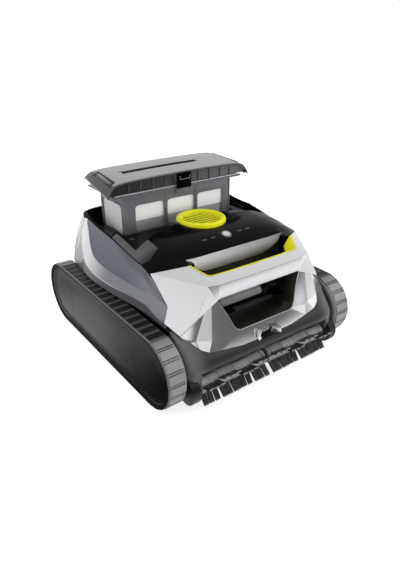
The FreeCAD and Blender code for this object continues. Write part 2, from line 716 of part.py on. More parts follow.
def body_planes():
    """Planes of the outer body for the right side: a point, and the normal that points out."""
    deck = value("deck_half_width + 1.2")
    top = value("hull_top")
    ledge = value("ledge_height")
    base = deck + value("flank_spread")
    edge = ledge + value("deck_edge_rise")
    side_slope = (base - deck) / (edge - top - 2.3)
    axle = value("axle_y")
    band = value("band_rear")
    crease = band + value("band_depth")
    bumper = value("bumper_front - 6.5")
    foot = value("bumper_top")
    recess = value("lower_recess_half_width")
    return [
        ((base, 0, top), (1, 0, side_slope)),
        ((base - 3, -0.3345 * axle, top), (1, -0.09, side_slope)),
        ((base - 8, -0.5241 * axle, top), (1, -0.21, side_slope)),
        ((base - 3, 0.5297 * axle, top), (1, 0.11, side_slope)),
        ((base - 12, 0.8921 * axle, top), (1, 0.32, side_slope)),
        ((deck, 10, edge), (0.1635, -0.17, 1)),
        ((deck, 10, edge), (0.1, -0.074, 1)),
        ((0, 0, ledge + value("crown_rise")), (0, 0, 1)),
        ((0, value("button_y"), ledge + 16.5), (0, -0.11, 1)),
        ((value("fascia_half_width"), -value("deck_front"), ledge - 0.5), (0.06, -0.33, 1)),
        ((0, -band, ledge - 14), (0, -0.24, 1)),
        ((0, -crease, ledge - 20), (0, -1, 0.166)),
        ((0, -bumper, foot), (0, -1, 0.166)),
        ((recess + 15, -band - 15, value("band_bottom + 1")), (0.42, -1, 0.25)),
        ((base - 51.1, 11.3 - bumper, foot + 12.7), (0.9, -1, 0.42)),
        ((deck - 2, 8.35 - axle, top + 41.3), (1, -0.62, 0.42)),
        ((0, value("hull_rear + 4"), top + 13.3), (0, 1, 0.12)),
        ((0, value("deck_rear + 1"), ledge + 19), (0, 1, 0.62)),
        ((deck - 22, value("hull_rear - 10"), top + 33.3), (0.75, 1, 0.35)),
    ]


def body_block(inset):
    """The convex block of the whole body, every plane moved in by inset."""
    foot = value("bumper_top - 6")
    block = Part.makeBox(2 * FAR, 2 * FAR, FAR, FreeCAD.Vector(-FAR, -FAR, foot))
    for point, normal in body_planes():
        for side in (-1, 1) if normal[0] else (1,):
            out = FreeCAD.Vector(side * normal[0], normal[1], normal[2])
            out.normalize()
            spot = FreeCAD.Vector(side * point[0], point[1], point[2]) - out * inset
            block = block.common(half_space(spot, out))
    return block


def shape_box(x, y, z):
    return Part.makeBox(x[1] - x[0], y[1] - y[0], z[1] - z[0], FreeCAD.Vector(x[0], y[0], z[0]))


FAR = value("overall_width")       # past every piece
OUTER = body_block(0.0)
INNER = body_block(value("wall"))
WIDE = (-value("track_out"), value("track_out"))
GAP = value("piece_gap")
FLOOR = value("hull_top") + GAP
DECK_X = value("deck_half_width - piece_gap")
DECK_LOW = value("ledge_height - deck_skirt")
FASCIA_X = value("fascia_half_width")


def body_shell():
    """Outer less inner, with a floor ledge at the sides and an open middle."""
    hull_x = value("hull_half - wall")
    shell = OUTER.cut(INNER.common(shape_box(WIDE, (-FAR, FAR), (FLOOR + value("wall"), FAR))))
    shell = shell.cut(shape_box((-hull_x, hull_x), (-value("hull_front") + 8, value("hull_rear") - 8),
                                (0, FLOOR + value("wall") + 1)))
    low = shape_box(WIDE, (-FAR, FAR), (0, FLOOR))
    ahead = (-FAR, -value("hull_front") - GAP)
    half = value("hull_half")
    apron = shape_box((-half, half), ahead, (value("bumper_top + piece_gap"), FLOOR))
    over_case = value("track_radius + gear_case_radius + piece_gap")
    apron = apron.fuse(shape_box((-half - 8, half + 8), ahead, (over_case, FLOOR)))
    shell = shell.cut(low.cut(apron))
    hollow = INNER.common(shape_box((-half - 5, half + 5), ahead, (0, FLOOR + 8)))
    return shell.cut(hollow)


SHELL = body_shell()


def deck_cut(clearance):
    """The prism that the deck and the fascia take out of the shells."""
    rear = value("deck_rear") + clearance
    x = DECK_X + clearance
    return shape_box((-x, x), (-value("deck_front"), rear), (DECK_LOW, FAR))


def front_shell():
    seam = -value("deck_front") + 5
    shape = SHELL.common(shape_box(WIDE, (-FAR, seam), (0, FAR))).cut(deck_cut(GAP))
    x = FASCIA_X + GAP
    shape = shape.cut(shape_box((-x, x), (-value("band_rear"), -value("deck_front") + 6), (DECK_LOW - 5, FAR)))
    x = value("lower_recess_half_width")
    shape = shape.cut(shape_box((-x, x), (-FAR, -value("hull_front") - 4),
                                (value("lower_recess_bottom"), value("band_bottom"))))
    hook_x = value("hook_half_width") + 2
    foot = value("bumper_top")
    notch = shape_box((-hook_x, hook_x), (-FAR, -value("hull_front")), (foot - 6, foot + 8))
    return node("front_shell", coded("front_shell_shape", shape.cut(notch)))


def side_frame(side, label):
    front = -value("deck_front") + 5 + GAP
    rear = value("deck_rear") - 5
    near = value("hull_half")
    x = sorted((side * near, side * value("track_out")))
    shape = SHELL.common(shape_box(x, (front, rear), (0, FAR))).cut(deck_cut(GAP))
    shape = shape.cut(panel_block(side, GAP))
    return node(label, coded(label + "_shape", shape))


def panel_block(side, clearance):
    """The band of the flank that the coloured panel fills, as deep as the panel."""
    depth = value("panel_thickness") + clearance
    inner = body_block(depth)
    x = sorted((side * value("deck_half_width"), side * value("track_out")))
    y = (27 - value("deck_front") - clearance, value("deck_rear") - 33 + clearance)
    z = (value("hull_top + panel_rise") - clearance, value("ledge_height - panel_drop") + clearance)
    window = shape_box(x, y, z)
    return OUTER.cut(inner).common(window)


def side_panel(side, label):
    return node(label, coded(label + "_shape", panel_block(side, 0.0)))


def rear_shell():
    rear = value("deck_rear") - 5 + GAP
    shape = SHELL.common(shape_box(WIDE, (rear, FAR), (0, FAR))).cut(deck_cut(GAP))
    reach = (value("hull_rear") - 16, value("hull_rear") + 20)
    socket = solid_rod_y(reach[0], reach[1], SOCKET_X, SOCKET_Z, SOCKET_RADIUS + GAP)
    return node("rear_shell", coded("rear_shell_shape", shape.cut(socket)))


def solid_rod_y(low, high, x, z, radius):
    return Part.makeCylinder(radius, high - low, FreeCAD.Vector(x, low, z), FreeCAD.Vector(0, 1, 0))


def solid_rod_z(low, high, y, radius):
    return Part.makeCylinder(radius, high - low, FreeCAD.Vector(0, y, low))


def charge_socket():
    """A round two-pin charging inlet in the rear shell."""
    rear = value("hull_rear")
    barrel = solid_rod_y(rear - 14, rear + 1, SOCKET_X, SOCKET_Z, SOCKET_RADIUS)
    bore = solid_rod_y(rear - 8, rear + 2, SOCKET_X, SOCKET_Z, SOCKET_RADIUS - 4)
    flange = solid_rod_y(rear - 17, rear - 14, SOCKET_X, SOCKET_Z, SOCKET_RADIUS + 3)
    shape = barrel.cut(bore).fuse(flange)
    for x in (SOCKET_X - 5, SOCKET_X + 5):
        shape = shape.fuse(solid_rod_y(rear - 9, rear - 2, x, SOCKET_Z, 1.5))
    return node("charge_socket", coded("charge_socket_shape", shape))


def top_deck():
    """The glossy top: a roof ahead, a sunk step and the ledge for the canister behind."""
    ledge = value("ledge_height")
    low = ledge - value("flange_thickness")
    x = DECK_X
    front = -value("deck_front")
    rear = value("deck_rear")
    step = -value("recess_front")
    skin = value("wall")
    roof = OUTER.common(shape_box((-x, x), (front + GAP, step), (DECK_LOW + GAP, FAR)))
    roof = roof.cut(INNER.common(shape_box((-x + skin, x - skin), (front - 10, step - skin), (0, FAR))))
    block = roof.fuse(OUTER.common(shape_box((-x, x), (step, rear), (low, FAR))))
    recess_x = value("recess_half_width")
    lid_y = value("lid_front") - 1.0
    block = block.cut(shape_box((-recess_x, recess_x), (step, lid_y + 1), (ledge, FAR)))
    block = block.cut(shape_box((-x - 1, x + 1), (lid_y, rear + 1), (ledge, FAR)))
    well_x = value("well_half")
    block = block.cut(shape_box((-well_x, well_x), (value("well_front"), value("well_rear")), (0, FAR)))
    y = value("pump_y")
    block = block.cut(solid_rod_z(DECK_LOW - 1, FAR, y, value("duct_radius + piece_gap")))
    notch_x = value("latch_width / 2 + 4")
    block = block.cut(shape_box((-notch_x, notch_x), (lid_y - 1, value("well_front") + 1), (low - 1, 300)))
    hole = value("button_radius + bezel_width")
    block = block.cut(solid_rod_z(DECK_LOW, FAR, value("button_y"), hole)).cut(LIGHTS)
    return node("top_deck", coded("top_deck_shape", block.removeSplitter()))


def light_bars():
    """Four small bars beside the button, flush with the deck."""
    bars = []
    y = value("button_y")
    for x in (-52, -36, 36, 52):
        bars.append(shape_box((x - 4, x + 4), (y - 1.5, y + 1.5), (DECK_LOW, FAR)))
    return Part.makeCompound([bar.common(OUTER).cut(body_block(1.2)) for bar in bars])


def fascia_plate():
    """The sloping plate ahead of the deck.  It is left bare."""
    y = (-value("fascia_front"), -value("deck_front") - GAP)
    x = (-FASCIA_X, FASCIA_X)
    shape = OUTER.cut(INNER).common(shape_box(x, y, (DECK_LOW - 5, FAR)))
    return node("fascia_plate", coded("fascia_plate_shape", shape))


def recess_tray():
    """The dark lining behind the handle band, open to the front and the top."""
    skin = value("well_wall")
    low = value("lower_recess_bottom") - skin - 0.5
    back = -value("deck_front") - 4
    step = -value("hull_front") - 2
    floor = FLOOR + value("wall")
    top = value("ledge_height") - 19
    nose = -value("band_rear") - 26
    line = [(nose, low), (step, floor), (back, floor + 8), (back, top)]
    outer = [(back - skin, top), (back - skin, floor + 8 + skin), (step - 1, floor + skin), (nose, low + skin)]
    profile = line + outer
    half = value("lower_recess_half_width") + 22
    shape = prism_x([(y, z) for y, z in profile], -half, half)
    for side in (-1, 1):
        x = sorted((side * (half - skin), side * half))
        cheek = [(nose + 30, floor), (back, floor + 8), (back, top), (nose + 30, top)]
        shape = shape.fuse(prism_x(cheek, x[0], x[1]))
    shape = shape.common(INNER_CLEAR)
    return node("recess_tray", coded("recess_tray_shape", shape.removeSplitter()))


def grip_liner():
    """The bright lining along the rim under the fascia plate and up the inner sides."""
    y = (-value("fascia_front") + 1, -value("deck_front") - 7)
    half = value("lower_recess_half_width") + 19
    bar = shape_box((-half, half), y, (DECK_LOW + 1, DECK_LOW + 7))
    for side in (-1, 1):
        x = sorted((side * half, side * (half - 5)))
        bar = bar.fuse(shape_box(x, (-value("band_rear") + 2, y[1]), (value("band_bottom + 8"), DECK_LOW + 7)))
    return node("grip_liner", coded("grip_liner_shape", bar.removeSplitter()))


SOCKET_X = value("socket_x")
SOCKET_Z = value("hull_top + socket_rise")
SOCKET_RADIUS = value("socket_radius")
INNER_CLEAR = body_block(value("wall + piece_gap"))
LIGHTS = light_bars()
front_shell()
rear_shell()
charge_socket()
for side, hand in ((-1, "left"), (1, "right")):
    side_frame(side, f"{hand}_side_frame")
    side_panel(side, f"{hand}_side_panel")
top_deck()
fascia_plate()
recess_tray()
grip_liner()


# ---------------------------------------------------------------- pump and electrics

def canister_well():
    """The open-topped box that holds the canister, with a window to the pump and a mouth below."""
    wall = "well_wall"
    outer = box("well_outer", (f"-well_half - {wall}", f"well_half + {wall}"),
                (f"well_front - {wall}", f"well_rear + {wall}"), ("floor_top", "ledge_height - 3.3"))
    inner = box("well_inner", ("-well_half", "well_half"), ("well_front", "well_rear"),
                (f"floor_top + {wall}", "ledge_height + 1"))
    mouth = box("well_mouth", ("-mouth_half_width", "mouth_half_width"),
                ("mouth_front", "mouth_front + mouth_length"), ("floor_top - 1", f"floor_top + {wall} + 1"))
    window = box("well_window", (minus("duct_window"), "duct_window"), (f"well_front - {wall} - 1", "well_front + 1"),
                 ("duct_bottom + 10", "duct_bottom + 45"))
    pieces = [cut("well_shell", outer, inner, mouth, window)]
    for side in (-1, 1):
        guide_x = sided(side, "canister_half_width + piece_gap", "well_half + 0.5")
        pieces.append(box(f"well_guide_{side + 2}", guide_x,
                          ("canister_front + 47", "canister_front + 59"),
                          ("floor_top + 1", "ledge_height - 3.3")))
    return node("canister_well", fuse("well_piece", *pieces))


def pump_duct():
    """The tube round the propeller, closed below and open to the well behind."""
    place = ("0", "pump_y")
    outer = rod("duct_outer", "z", ("duct_bottom", "duct_top"), place, "duct_radius")
    inner = rod("duct_inner", "z", ("duct_bottom + duct_wall", "duct_top + 1"), place,
                "duct_radius - duct_wall")
    shaft = rod("duct_shaft_hole", "z", ("duct_bottom - 1", "duct_bottom + duct_wall + 1"), place,
                "pump_shaft_radius + running_clearance")
    window = box("duct_way", (minus("duct_window"), "duct_window"), ("pump_y + 20", "pump_y + duct_radius + 1"),
                 ("duct_bottom + 10", "duct_bottom + 45"))
    return node("pump_duct", cut("duct_piece", outer, inner, shaft, window))


def pump_motor():
    """The sealed motor on the hull's floor, with a bearing bore for the propeller's shaft."""
    place = ("0", "pump_y")
    can = rod("pump_can", "z", ("floor_top + 6", "duct_bottom"), place, "pump_motor_radius")
    foot = box("pump_foot", ("-pump_motor_radius - 8", "pump_motor_radius + 8"),
               ("pump_y - pump_motor_radius - 4", "pump_y + pump_motor_radius + 4"),
               ("floor_top", "floor_top + 6.5"))
    bore = rod("pump_bore", "z", ("duct_bottom - 30", "duct_bottom + 1"), place,
               "pump_shaft_radius + running_clearance")
    return node("pump_motor", cut("pump_piece", fuse("pump_solid", can, foot), bore))


def propeller():
    """Four pitched blades on a hub, with the shaft that runs in the motor."""
    y = value("pump_y")
    low = value("duct_bottom") + 47
    height = 24.0
    hub = value("propeller_hub_radius")
    tip = value("propeller_radius")
    shape = solid_rod_z(low, low + height, y, hub)
    shape = shape.fuse(Part.makeCone(hub, 3, 10, FreeCAD.Vector(0, y, low + height)))
    shape = shape.fuse(solid_rod_z(value("duct_bottom") - 29, low + 1, y, value("pump_shaft_radius")))
    for turn in range(4):
        blade = Part.makeBox(tip - hub + 2, 26, 2.2, FreeCAD.Vector(hub - 2, -13, -1.1))
        blade.rotate(FreeCAD.Vector(0, 0, 0), FreeCAD.Vector(1, 0, 0), 28)
        blade = blade.common(Part.makeCylinder(tip, 60, FreeCAD.Vector(0, 0, -30)))
        blade.rotate(FreeCAD.Vector(0, 0, 0), FreeCAD.Vector(0, 0, 1), 90 * turn)
        blade.translate(FreeCAD.Vector(0, y, low + height / 2))
        shape = shape.fuse(blade)
    return node("propeller", coded("propeller_shape", shape.removeSplitter()))


def outlet_grille():
    """The round outlet ring with slats across it and a spider below."""
    y = value("pump_y")
    low = value("duct_top")
    high = low + value("grille_height")
    radius = value("duct_radius")
    ring = solid_rod_z(low, high, y, radius).cut(solid_rod_z(low - 1, high + 1, y, radius - 11))
    ring = Part.makeCompound([ring]).Solids[0]
    edges = [edge for edge in ring.Edges if abs(edge.BoundBox.ZMin - high) < 0.01]
    shape = ring.makeFillet(3.0, edges)
    slats = 7
    pitch = 2 * (radius - 11) / slats
    for index in range(slats):
        centre = y - radius + 11 + (index + 0.5) * pitch
        reach = math.sqrt((radius - 10) ** 2 - (centre - y) ** 2) - 0.5
        shape = shape.fuse(shape_box((-reach, reach), (centre - 2.2, centre + 2.2), (low + 2, high - 4)))
    return node("outlet_grille", coded("outlet_grille_shape", shape.removeSplitter()))


def battery_pack():
    x = "hull_half - wall - 74"
    return node("battery_pack", box("battery_block", (minus(x), x), ("-hull_front + 12", "pump_y - 42"),
                                    ("floor_top", "floor_top + battery_height")))


def control_board():
    """The board on its standoffs over the battery, with a few large components."""
    low = "floor_top + battery_height"
    board = box("board_plate", ("-64", "64"), ("-hull_front + 18", "pump_y - 50"), (f"{low} + 5", f"{low} + 7"))
    pieces = [board]
    feet = [(x, y) for y in ("-hull_front + 24", "pump_y - 56") for x in ("-58", "58")]
    for index, (x, y) in enumerate(feet):
        pieces.append(rod(f"board_foot_{index}", "z", (low, f"{low} + 6"), (x, y), "3"))
    for index, (x, y, wide, tall) in enumerate(((-40, 37, 22, 6), (0, 47, 30, 4), (38, 37, 16, 9))):
        pieces.append(box(f"board_chip_{index}", (f"{x} - {wide} / 2", f"{x} + {wide} / 2"),
                          (f"{y} - hull_front", f"{y} - hull_front + 18"), (f"{low} + 6", f"{low} + 7 + {tall}")))
    return node("control_board", fuse("board_piece", *pieces))


# ---------------------------------------------------------------- canister, lid and latch

def canister_frame():
    """The lift-out basket's frame: windows all round, a flange above and an inlet below."""
    half = "canister_half_width"
    skin = "canister_wall"
    low = "canister_low"
    outer = box("can_outer", (minus(half), half), ("canister_front", "canister_rear"), (low, "flange_top"))
    inner = box("can_inner", (f"-{half} + {skin}", f"{half} - {skin}"),
                (f"canister_front + {skin}", f"canister_rear - {skin}"), (f"{low} + {skin}", "flange_top + 1"))
    flange = box("can_flange", ("-flange_half_width", "flange_half_width"),
                 ("canister_front - 3", "canister_rear + 3"), ("flange_top - flange_thickness", "flange_top"))
    flange_hole = box("can_flange_hole", (f"-{half} + {skin}", f"{half} - {skin}"),
                      (f"canister_front + {skin}", f"canister_rear - {skin}"),
                      ("flange_top - flange_thickness - 1", "flange_top + 1"))
    window_z = (f"{low} + 22", "flange_top - 23")
    tools = [inner]
    third = f"(2 * {half} - 31) / 3"
    for index in range(3):
        x = f"-{half} + 11 + {index} * ({third} + 4.5)"
        tools.append(box(f"can_window_{index}", (x, f"{x} + {third}"), ("canister_front - 1", "canister_rear + 1"),
                         window_z))
    tools.append(box("can_side_window", (f"-{half} - 1", f"{half} + 1"),
                     ("canister_front + 14", "canister_rear - 12"), window_z))
    tools.append(box("can_inlet", ("-mouth_half_width", "mouth_half_width"),
                     ("mouth_front", "mouth_front + mouth_length"), (f"{low} - 1", f"{low} + {skin} + 1")))
    pieces = [cut("can_shell", outer, *tools), cut("can_rim", flange, flange_hole)]
    for side in (-1, 1):
        ear_x = sided(side, "canister_half_width - 35", "canister_half_width - 27")
        ear = box(f"can_ear_{side + 2}", ear_x, ("canister_rear - 3", "canister_rear + 3"),
                  ("flange_top - 1", "lid_pin_z + 3"))
        pieces.append(ear)
    pin = rod("can_ear_hole", "x", ("-canister_half_width + 11", "canister_half_width - 11"), ("canister_rear", "lid_pin_z"), "lid_pin_radius")
    flap_pin = "mouth_half_width - 2"
    for side in (-1, 1):
        x = sided(side, flap_pin, "mouth_half_width + 2")
        pieces.append(box(f"can_flap_ear_{side + 2}", x, ("mouth_front - 8", "mouth_front - 2"),
                          (f"{low} + {skin} - 0.5", f"{low} + {skin} + 6")))
    flap_hole = rod("can_flap_hole", "x", ("-mouth_half_width - 3", "mouth_half_width + 3"),
                    ("mouth_front - 5", "flap_pin_z"), "flap_pin_radius + running_clearance")
    return node("canister_frame", cut("can_piece", fuse("can_solid", *pieces), pin, flap_hole))


def filter_mesh():
    """The fine mesh lining of the basket: four thin walls inside the windows."""
    x = "canister_half_width - canister_wall"
    y = ("canister_front + canister_wall", "canister_rear - canister_wall")
    z = ("canister_low + canister_wall", "flange_top - 8")
    outer = box("mesh_outer", (minus(x), x), y, z)
    inner = box("mesh_inner", (f"-({x}) + mesh_thickness", f"{x} - mesh_thickness"),
                (f"{y[0]} + mesh_thickness", f"{y[1]} - mesh_thickness"), (f"{z[0]} - 1", f"{z[1]} + 1"))
    return node("filter_mesh", cut("mesh_piece", outer, inner))


def inlet_flap():
    """The flap over the basket's inlet, which opens upwards with the flow."""
    low = "canister_low + canister_wall"
    plate = box("flap_plate", ("-mouth_half_width - 3", "mouth_half_width + 3"),
                ("mouth_front - 2 + piece_gap", "mouth_front + mouth_length + 4"),
                (f"{low} + piece_gap", f"{low} + piece_gap + flap_thickness"))
    neck = box("flap_neck", ("-mouth_half_width + 2 + piece_gap", "mouth_half_width - 2 - piece_gap"),
               ("mouth_front - 5", "mouth_front"), (f"{low} + piece_gap", f"{low} + piece_gap + flap_thickness"))
    pin = rod("flap_pin", "x", ("-mouth_half_width - 1", "mouth_half_width + 1"),
              ("mouth_front - 5", "flap_pin_z"), "flap_pin_radius")
    return node("inlet_flap", fuse("flap_piece", plate, neck, pin))


def latch_keeper():
    """The catch on the canister's front wall that the latch hooks."""
    x = ("-latch_width / 2", "latch_width / 2")
    block = box("keeper_block", x, ("canister_front - 4", "canister_front"), ("flange_top - 16", "flange_top - 3"))
    notch = box("keeper_notch", ("-latch_width / 2 + 3", "latch_width / 2 - 3"),
                ("canister_front - 5", "canister_front - 1.5"), ("flange_top - 13", "flange_top - 8"))
    return node("latch_keeper", cut("keeper_piece", block, notch))


def lid_section(y, z_edge, x_edge, x_crease, z_crease, z_top, drop):
    """One cross-section of the lid, moved down by drop and in by the same."""
    points = [(-x_edge + drop, z_edge), (-x_crease + drop / 2, z_crease - drop), (0, z_top - drop),
              (x_crease - drop / 2, z_crease - drop), (x_edge - drop, z_edge)]
    points += [(x_edge - drop, z_edge - 3), (-x_edge + drop, z_edge - 3)]
    return Part.makePolygon([FreeCAD.Vector(x, y, z) for x, z in points + points[:1]])


def lid_block(drop, front_extra):
    seat = value("flange_top")
    front = value("lid_front") - front_extra
    rear = value("lid_rear") - drop
    edge = value("flange_half_width + lid_side_overhang")
    sections = [
        lid_section(front, seat + 4, edge, edge - 32.8, seat + 22.5, seat + 30, drop),
        lid_section((front + rear) / 2, seat + 8.5, edge - 3.8, edge - 34.8, seat + 30, seat + 36, drop),
        lid_section(rear, seat + 13, edge - 10.8, edge - 40.8, seat + 29, seat + 34, drop),
    ]
    return Part.makeLoft(sections, True, True)


def canister_lid():
    """The lid: a faceted shell, open at the front, with ribs below and knuckles at the rear."""
    wall = value("lid_wall")
    shape = lid_block(0.0, 0.0).cut(lid_block(wall, 5.0))
    seat = value("flange_top")
    low = seat + value("piece_gap")
    back = value("lid_rear")
    front = value("lid_front")
    floor_x = value("recess_half_width") + 2
    floor_y = (front + 6, back - 14)
    shape = shape.fuse(shape_box((-floor_x, floor_x), floor_y, (low + 3.9, low + 6)).common(lid_block(0.0, 0.0)))
    ribs = [value("flange_half_width") * share for share in (-0.9, -0.66, -0.42, -0.18, 0.18, 0.42, 0.66, 0.9)]
    for x in ribs:
        rib = shape_box((x - 1, x + 1), floor_y, (low + 4, seat + 40))
        shape = shape.fuse(rib.common(lid_block(0.5, 0.0)))
    slot_x = value("flange_half_width") - 43.4
    slot = shape_box((-slot_x, slot_x), (front + 48, front + 56), (seat + 24, seat + 60))
    shape = shape.cut(slot)
    pin_y = value("canister_rear")
    pin_z = value("lid_pin_z")
    radius = value("lid_pin_radius + running_clearance")
    reach = value("canister_half_width") - 39
    knuckle = solid_rod(-reach, reach, pin_y, pin_z, radius + 2.5)
    knuckle = knuckle.fuse(shape_box((-reach, reach), (pin_y - 1, pin_y + 3), (pin_z, seat + 26)))
    relief = shape_box((-reach - 17, reach + 17), (pin_y - 6, back + 1), (seat - 5, seat + 15.5))
    shape = shape.cut(relief).fuse(knuckle.common(shape_box((-reach, reach), (pin_y - 8, back), (0, seat + 26))))
    shape = shape.cut(solid_rod(-reach - 28, reach + 28, pin_y, pin_z, radius))
    notch_x = value("latch_width") / 2 + 2
    shape = shape.cut(shape_box((-notch_x, notch_x), (front - 1, front + 9), (seat - 5, seat + 20)))
    ear_x = value("latch_width") / 2 + 2
    for side in (-1, 1):
        x = sorted((side * ear_x, side * (ear_x + 3)))
        ear = shape_box(x, (front, front + 9), (low + 9, seat + 40)).common(lid_block(0.5, 0.0))
        shape = shape.fuse(ear)
    shape = shape.cut(solid_rod(-40, 40, front + 4.5, value("latch_pin_z"), 1.5 + 0.05))
    return node("canister_lid", coded("canister_lid_shape", shape.removeSplitter()))


def lid_latch():
    """The clip at the lid's front: it turns on its own pin and hooks the keeper."""
    front = value("lid_front")
    half = value("latch_width") / 2
    seat = value("flange_top")
    body = shape_box((-half, half), (front, front + 8.0), (seat + 5, seat + 19.5))
    body = body.cut(shape_box((-half + 4, half - 4), (front - 1, front + 3), (seat + 8, seat + 15)))
    leg = shape_box((-half + 6, half - 6), (front, front + 3.0), (seat - 9, seat + 6))
    pin = solid_rod(-half - 5, half + 5, front + 4.5, value("latch_pin_z"), 1.5)
    return node("lid_latch", coded("lid_latch_shape", body.fuse(leg).fuse(pin).removeSplitter()))


def lid_hinge_pin():
    return node("lid_hinge_pin", rod("lid_hinge_rod", "x", ("-canister_half_width + 27", "canister_half_width - 27"),
                                     ("canister_rear", "lid_pin_z"),
                                     "lid_pin_radius"))


# ---------------------------------------------------------------- button, lights and hook

def power_button():
    """The round button and its stem, which presses the switch below the deck."""
    place = ("0", "button_y")
    cap = rod("button_cap", "z", ("button_top - 5", "button_top"), place, "button_radius")
    stem = rod("button_stem", "z", ("button_top - 15", "button_top - 4.9"), place, "3")
    return node("power_button", fuse("button_piece", cap, stem))


def button_bezel():
    """The dark ring round the button, with the cup that holds its spring."""
    place = ("0", "button_y")
    ring = rod("bezel_ring", "z", ("button_top - 20", "button_top"), place, "button_radius + bezel_width - piece_gap")
    bore = rod("bezel_bore", "z", ("button_top - 18", "button_top + 1"), place, "button_radius + piece_gap")
    return node("button_bezel", cut("bezel_piece", ring, bore))


def button_spring():
    """A plain tube that stands for the coil under the button's cap."""
    place = ("0", "button_y")
    coil = rod("spring_outer", "z", ("button_top - 18", "button_top - 5"), place, "6")
    hole = rod("spring_inner", "z", ("button_top - 19", "button_top - 4"), place, "4.6")
    return node("button_spring", cut("spring_piece", coil, hole))


def status_lights():
    """Four small light bars beside the button, set flush in a shared strip."""
    return node("status_lights", coded("status_lights_shape", LIGHTS))


def tow_hook():
    """The steel hook in the notch at the foot of the front, for a retrieval pole."""
    x = value("hook_half_width")
    front = -value("bumper_front") + 9
    top = value("bumper_top")
    back = -value("hull_front") - 20
    plate = shape_box((-x, x), (front, back), (top, top + 2.5))
    hooks = [plate]
    for low, high in ((-18, -10), (6, 18)):
        hooks.append(shape_box((low, high), (front, front + 2.5), (top, top + 6.5)))
    return node("tow_hook", coded("tow_hook_shape", hooks[0].multiFuse(hooks[1:]).removeSplitter()))


PLACES["button_top"] = "ledge_height + 17"
PLACES["lid_pin_z"] = "flange_top + 7"
PLACES["latch_pin_z"] = "flange_top + 16"
PLACES["flap_pin_z"] = "canister_low + canister_wall + 3"
canister_well()
pump_duct()
pump_motor()
propeller()
outlet_grille()
battery_pack()
control_board()
canister_frame()
filter_mesh()
inlet_flap()
latch_keeper()
canister_lid()
lid_latch()
lid_hinge_pin()
power_button()
button_bezel()
button_spring()
status_lights()
tow_hook()


# ---------------------------------------------------------------- check and export

doc.recompute()
os.makedirs("parts", exist_ok=True)
for thing in doc.Objects:
    if "Invalid" in thing.State or "Error" in thing.State:
        raise RuntimeError(f"{thing.Label} failed to build")
for piece in NODES:
    if piece.Shape.isNull() or not piece.Shape.isValid():
        raise RuntimeError(f"{piece.Label} has no valid shape")
for piece in NODES:
    piece.Shape.exportStep(os.path.join("parts", piece.Label + ".step"))
print(len(NODES), "pieces written")
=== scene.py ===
import math

import bpy
from mathutils import Matrix, Vector


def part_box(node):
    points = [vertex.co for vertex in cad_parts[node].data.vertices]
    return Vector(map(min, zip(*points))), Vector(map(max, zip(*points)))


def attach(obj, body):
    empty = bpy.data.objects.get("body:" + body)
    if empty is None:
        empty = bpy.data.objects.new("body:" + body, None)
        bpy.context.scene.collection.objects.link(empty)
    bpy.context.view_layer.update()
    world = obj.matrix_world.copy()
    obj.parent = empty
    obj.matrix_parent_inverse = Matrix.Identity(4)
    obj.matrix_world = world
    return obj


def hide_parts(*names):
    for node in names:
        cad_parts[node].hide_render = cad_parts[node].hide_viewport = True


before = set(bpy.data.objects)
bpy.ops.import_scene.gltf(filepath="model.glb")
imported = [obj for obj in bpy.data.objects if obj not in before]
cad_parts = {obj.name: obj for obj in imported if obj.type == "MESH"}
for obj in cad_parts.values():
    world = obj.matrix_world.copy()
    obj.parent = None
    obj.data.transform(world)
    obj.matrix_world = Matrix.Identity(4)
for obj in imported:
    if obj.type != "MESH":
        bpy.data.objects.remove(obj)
bpy.context.scene.view_settings.view_transform = "Standard"
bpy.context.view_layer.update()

# Tracked robotic pool cleaner.  Sizes below are millimetres in machine coordinates: X right, -Y ahead
# (brush side), Z up, with the origin midway between the wheel axles.  spot() turns them into the frame.
MM = 0.001


def middle(node, axis):
    low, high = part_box(node)
    return (low[axis] + high[axis]) / 2


SHIFT = (middle("front_left_axle", 1) + middle("rear_left_axle", 1)) / 2
AXLE_Y = (middle("rear_left_axle", 1) - SHIFT) / MM
AXLE_Z = middle("front_left_axle", 2) / MM
BRUSH_Y = (middle("left_brush_core", 1) - SHIFT) / MM
BRUSH_Z = middle("left_brush_core", 2) / MM


def spot(x, y, z):
    return Vector((x * MM, y * MM + SHIFT, z * MM))


def frame_x(x):
    return spot(x, 0, 0).x


def frame_y(y):
    return spot(0, y, 0).y


# ------------------------------------------------------------------ shader nodes

def add_node(tree, kind, **sockets):
    """A new node with some of its inputs set; an underscore in a socket's name stands for a space."""
    node = tree.nodes.new("ShaderNode" + kind)
    for socket, amount in sockets.items():
        node.inputs[socket.replace("_", " ")].default_value = amount
    return node


def object_place(tree):
    return add_node(tree, "TexCoord").outputs["Object"]


def place_along(tree, axis, coordinates="Object"):
    split = add_node(tree, "SeparateXYZ")
    tree.links.new(add_node(tree, "TexCoord").outputs[coordinates], split.inputs[0])
    return split.outputs[axis]


def worked_out(tree, operation, first, second=None):
    """A sum on one or two outputs; a plain number can stand for the second."""
    node = add_node(tree, "Math")
    node.operation = operation
    tree.links.new(first, node.inputs[0])
    if isinstance(second, float):
        node.inputs[1].default_value = second
    elif second is not None:
        tree.links.new(second, node.inputs[1])
    return node.outputs[0]


def eased(tree, along, start, end, first=0.0, last=1.0):
    """A soft change from first at start to last at end, which may lie below the start."""
    if start > end:
        start, end, first, last = end, start, last, first
    share = add_node(tree, "MapRange", From_Min=start, From_Max=end, To_Min=first, To_Max=last)
    share.interpolation_type = "SMOOTHSTEP"
    tree.links.new(along, share.inputs["Value"])
    return share.outputs["Result"]


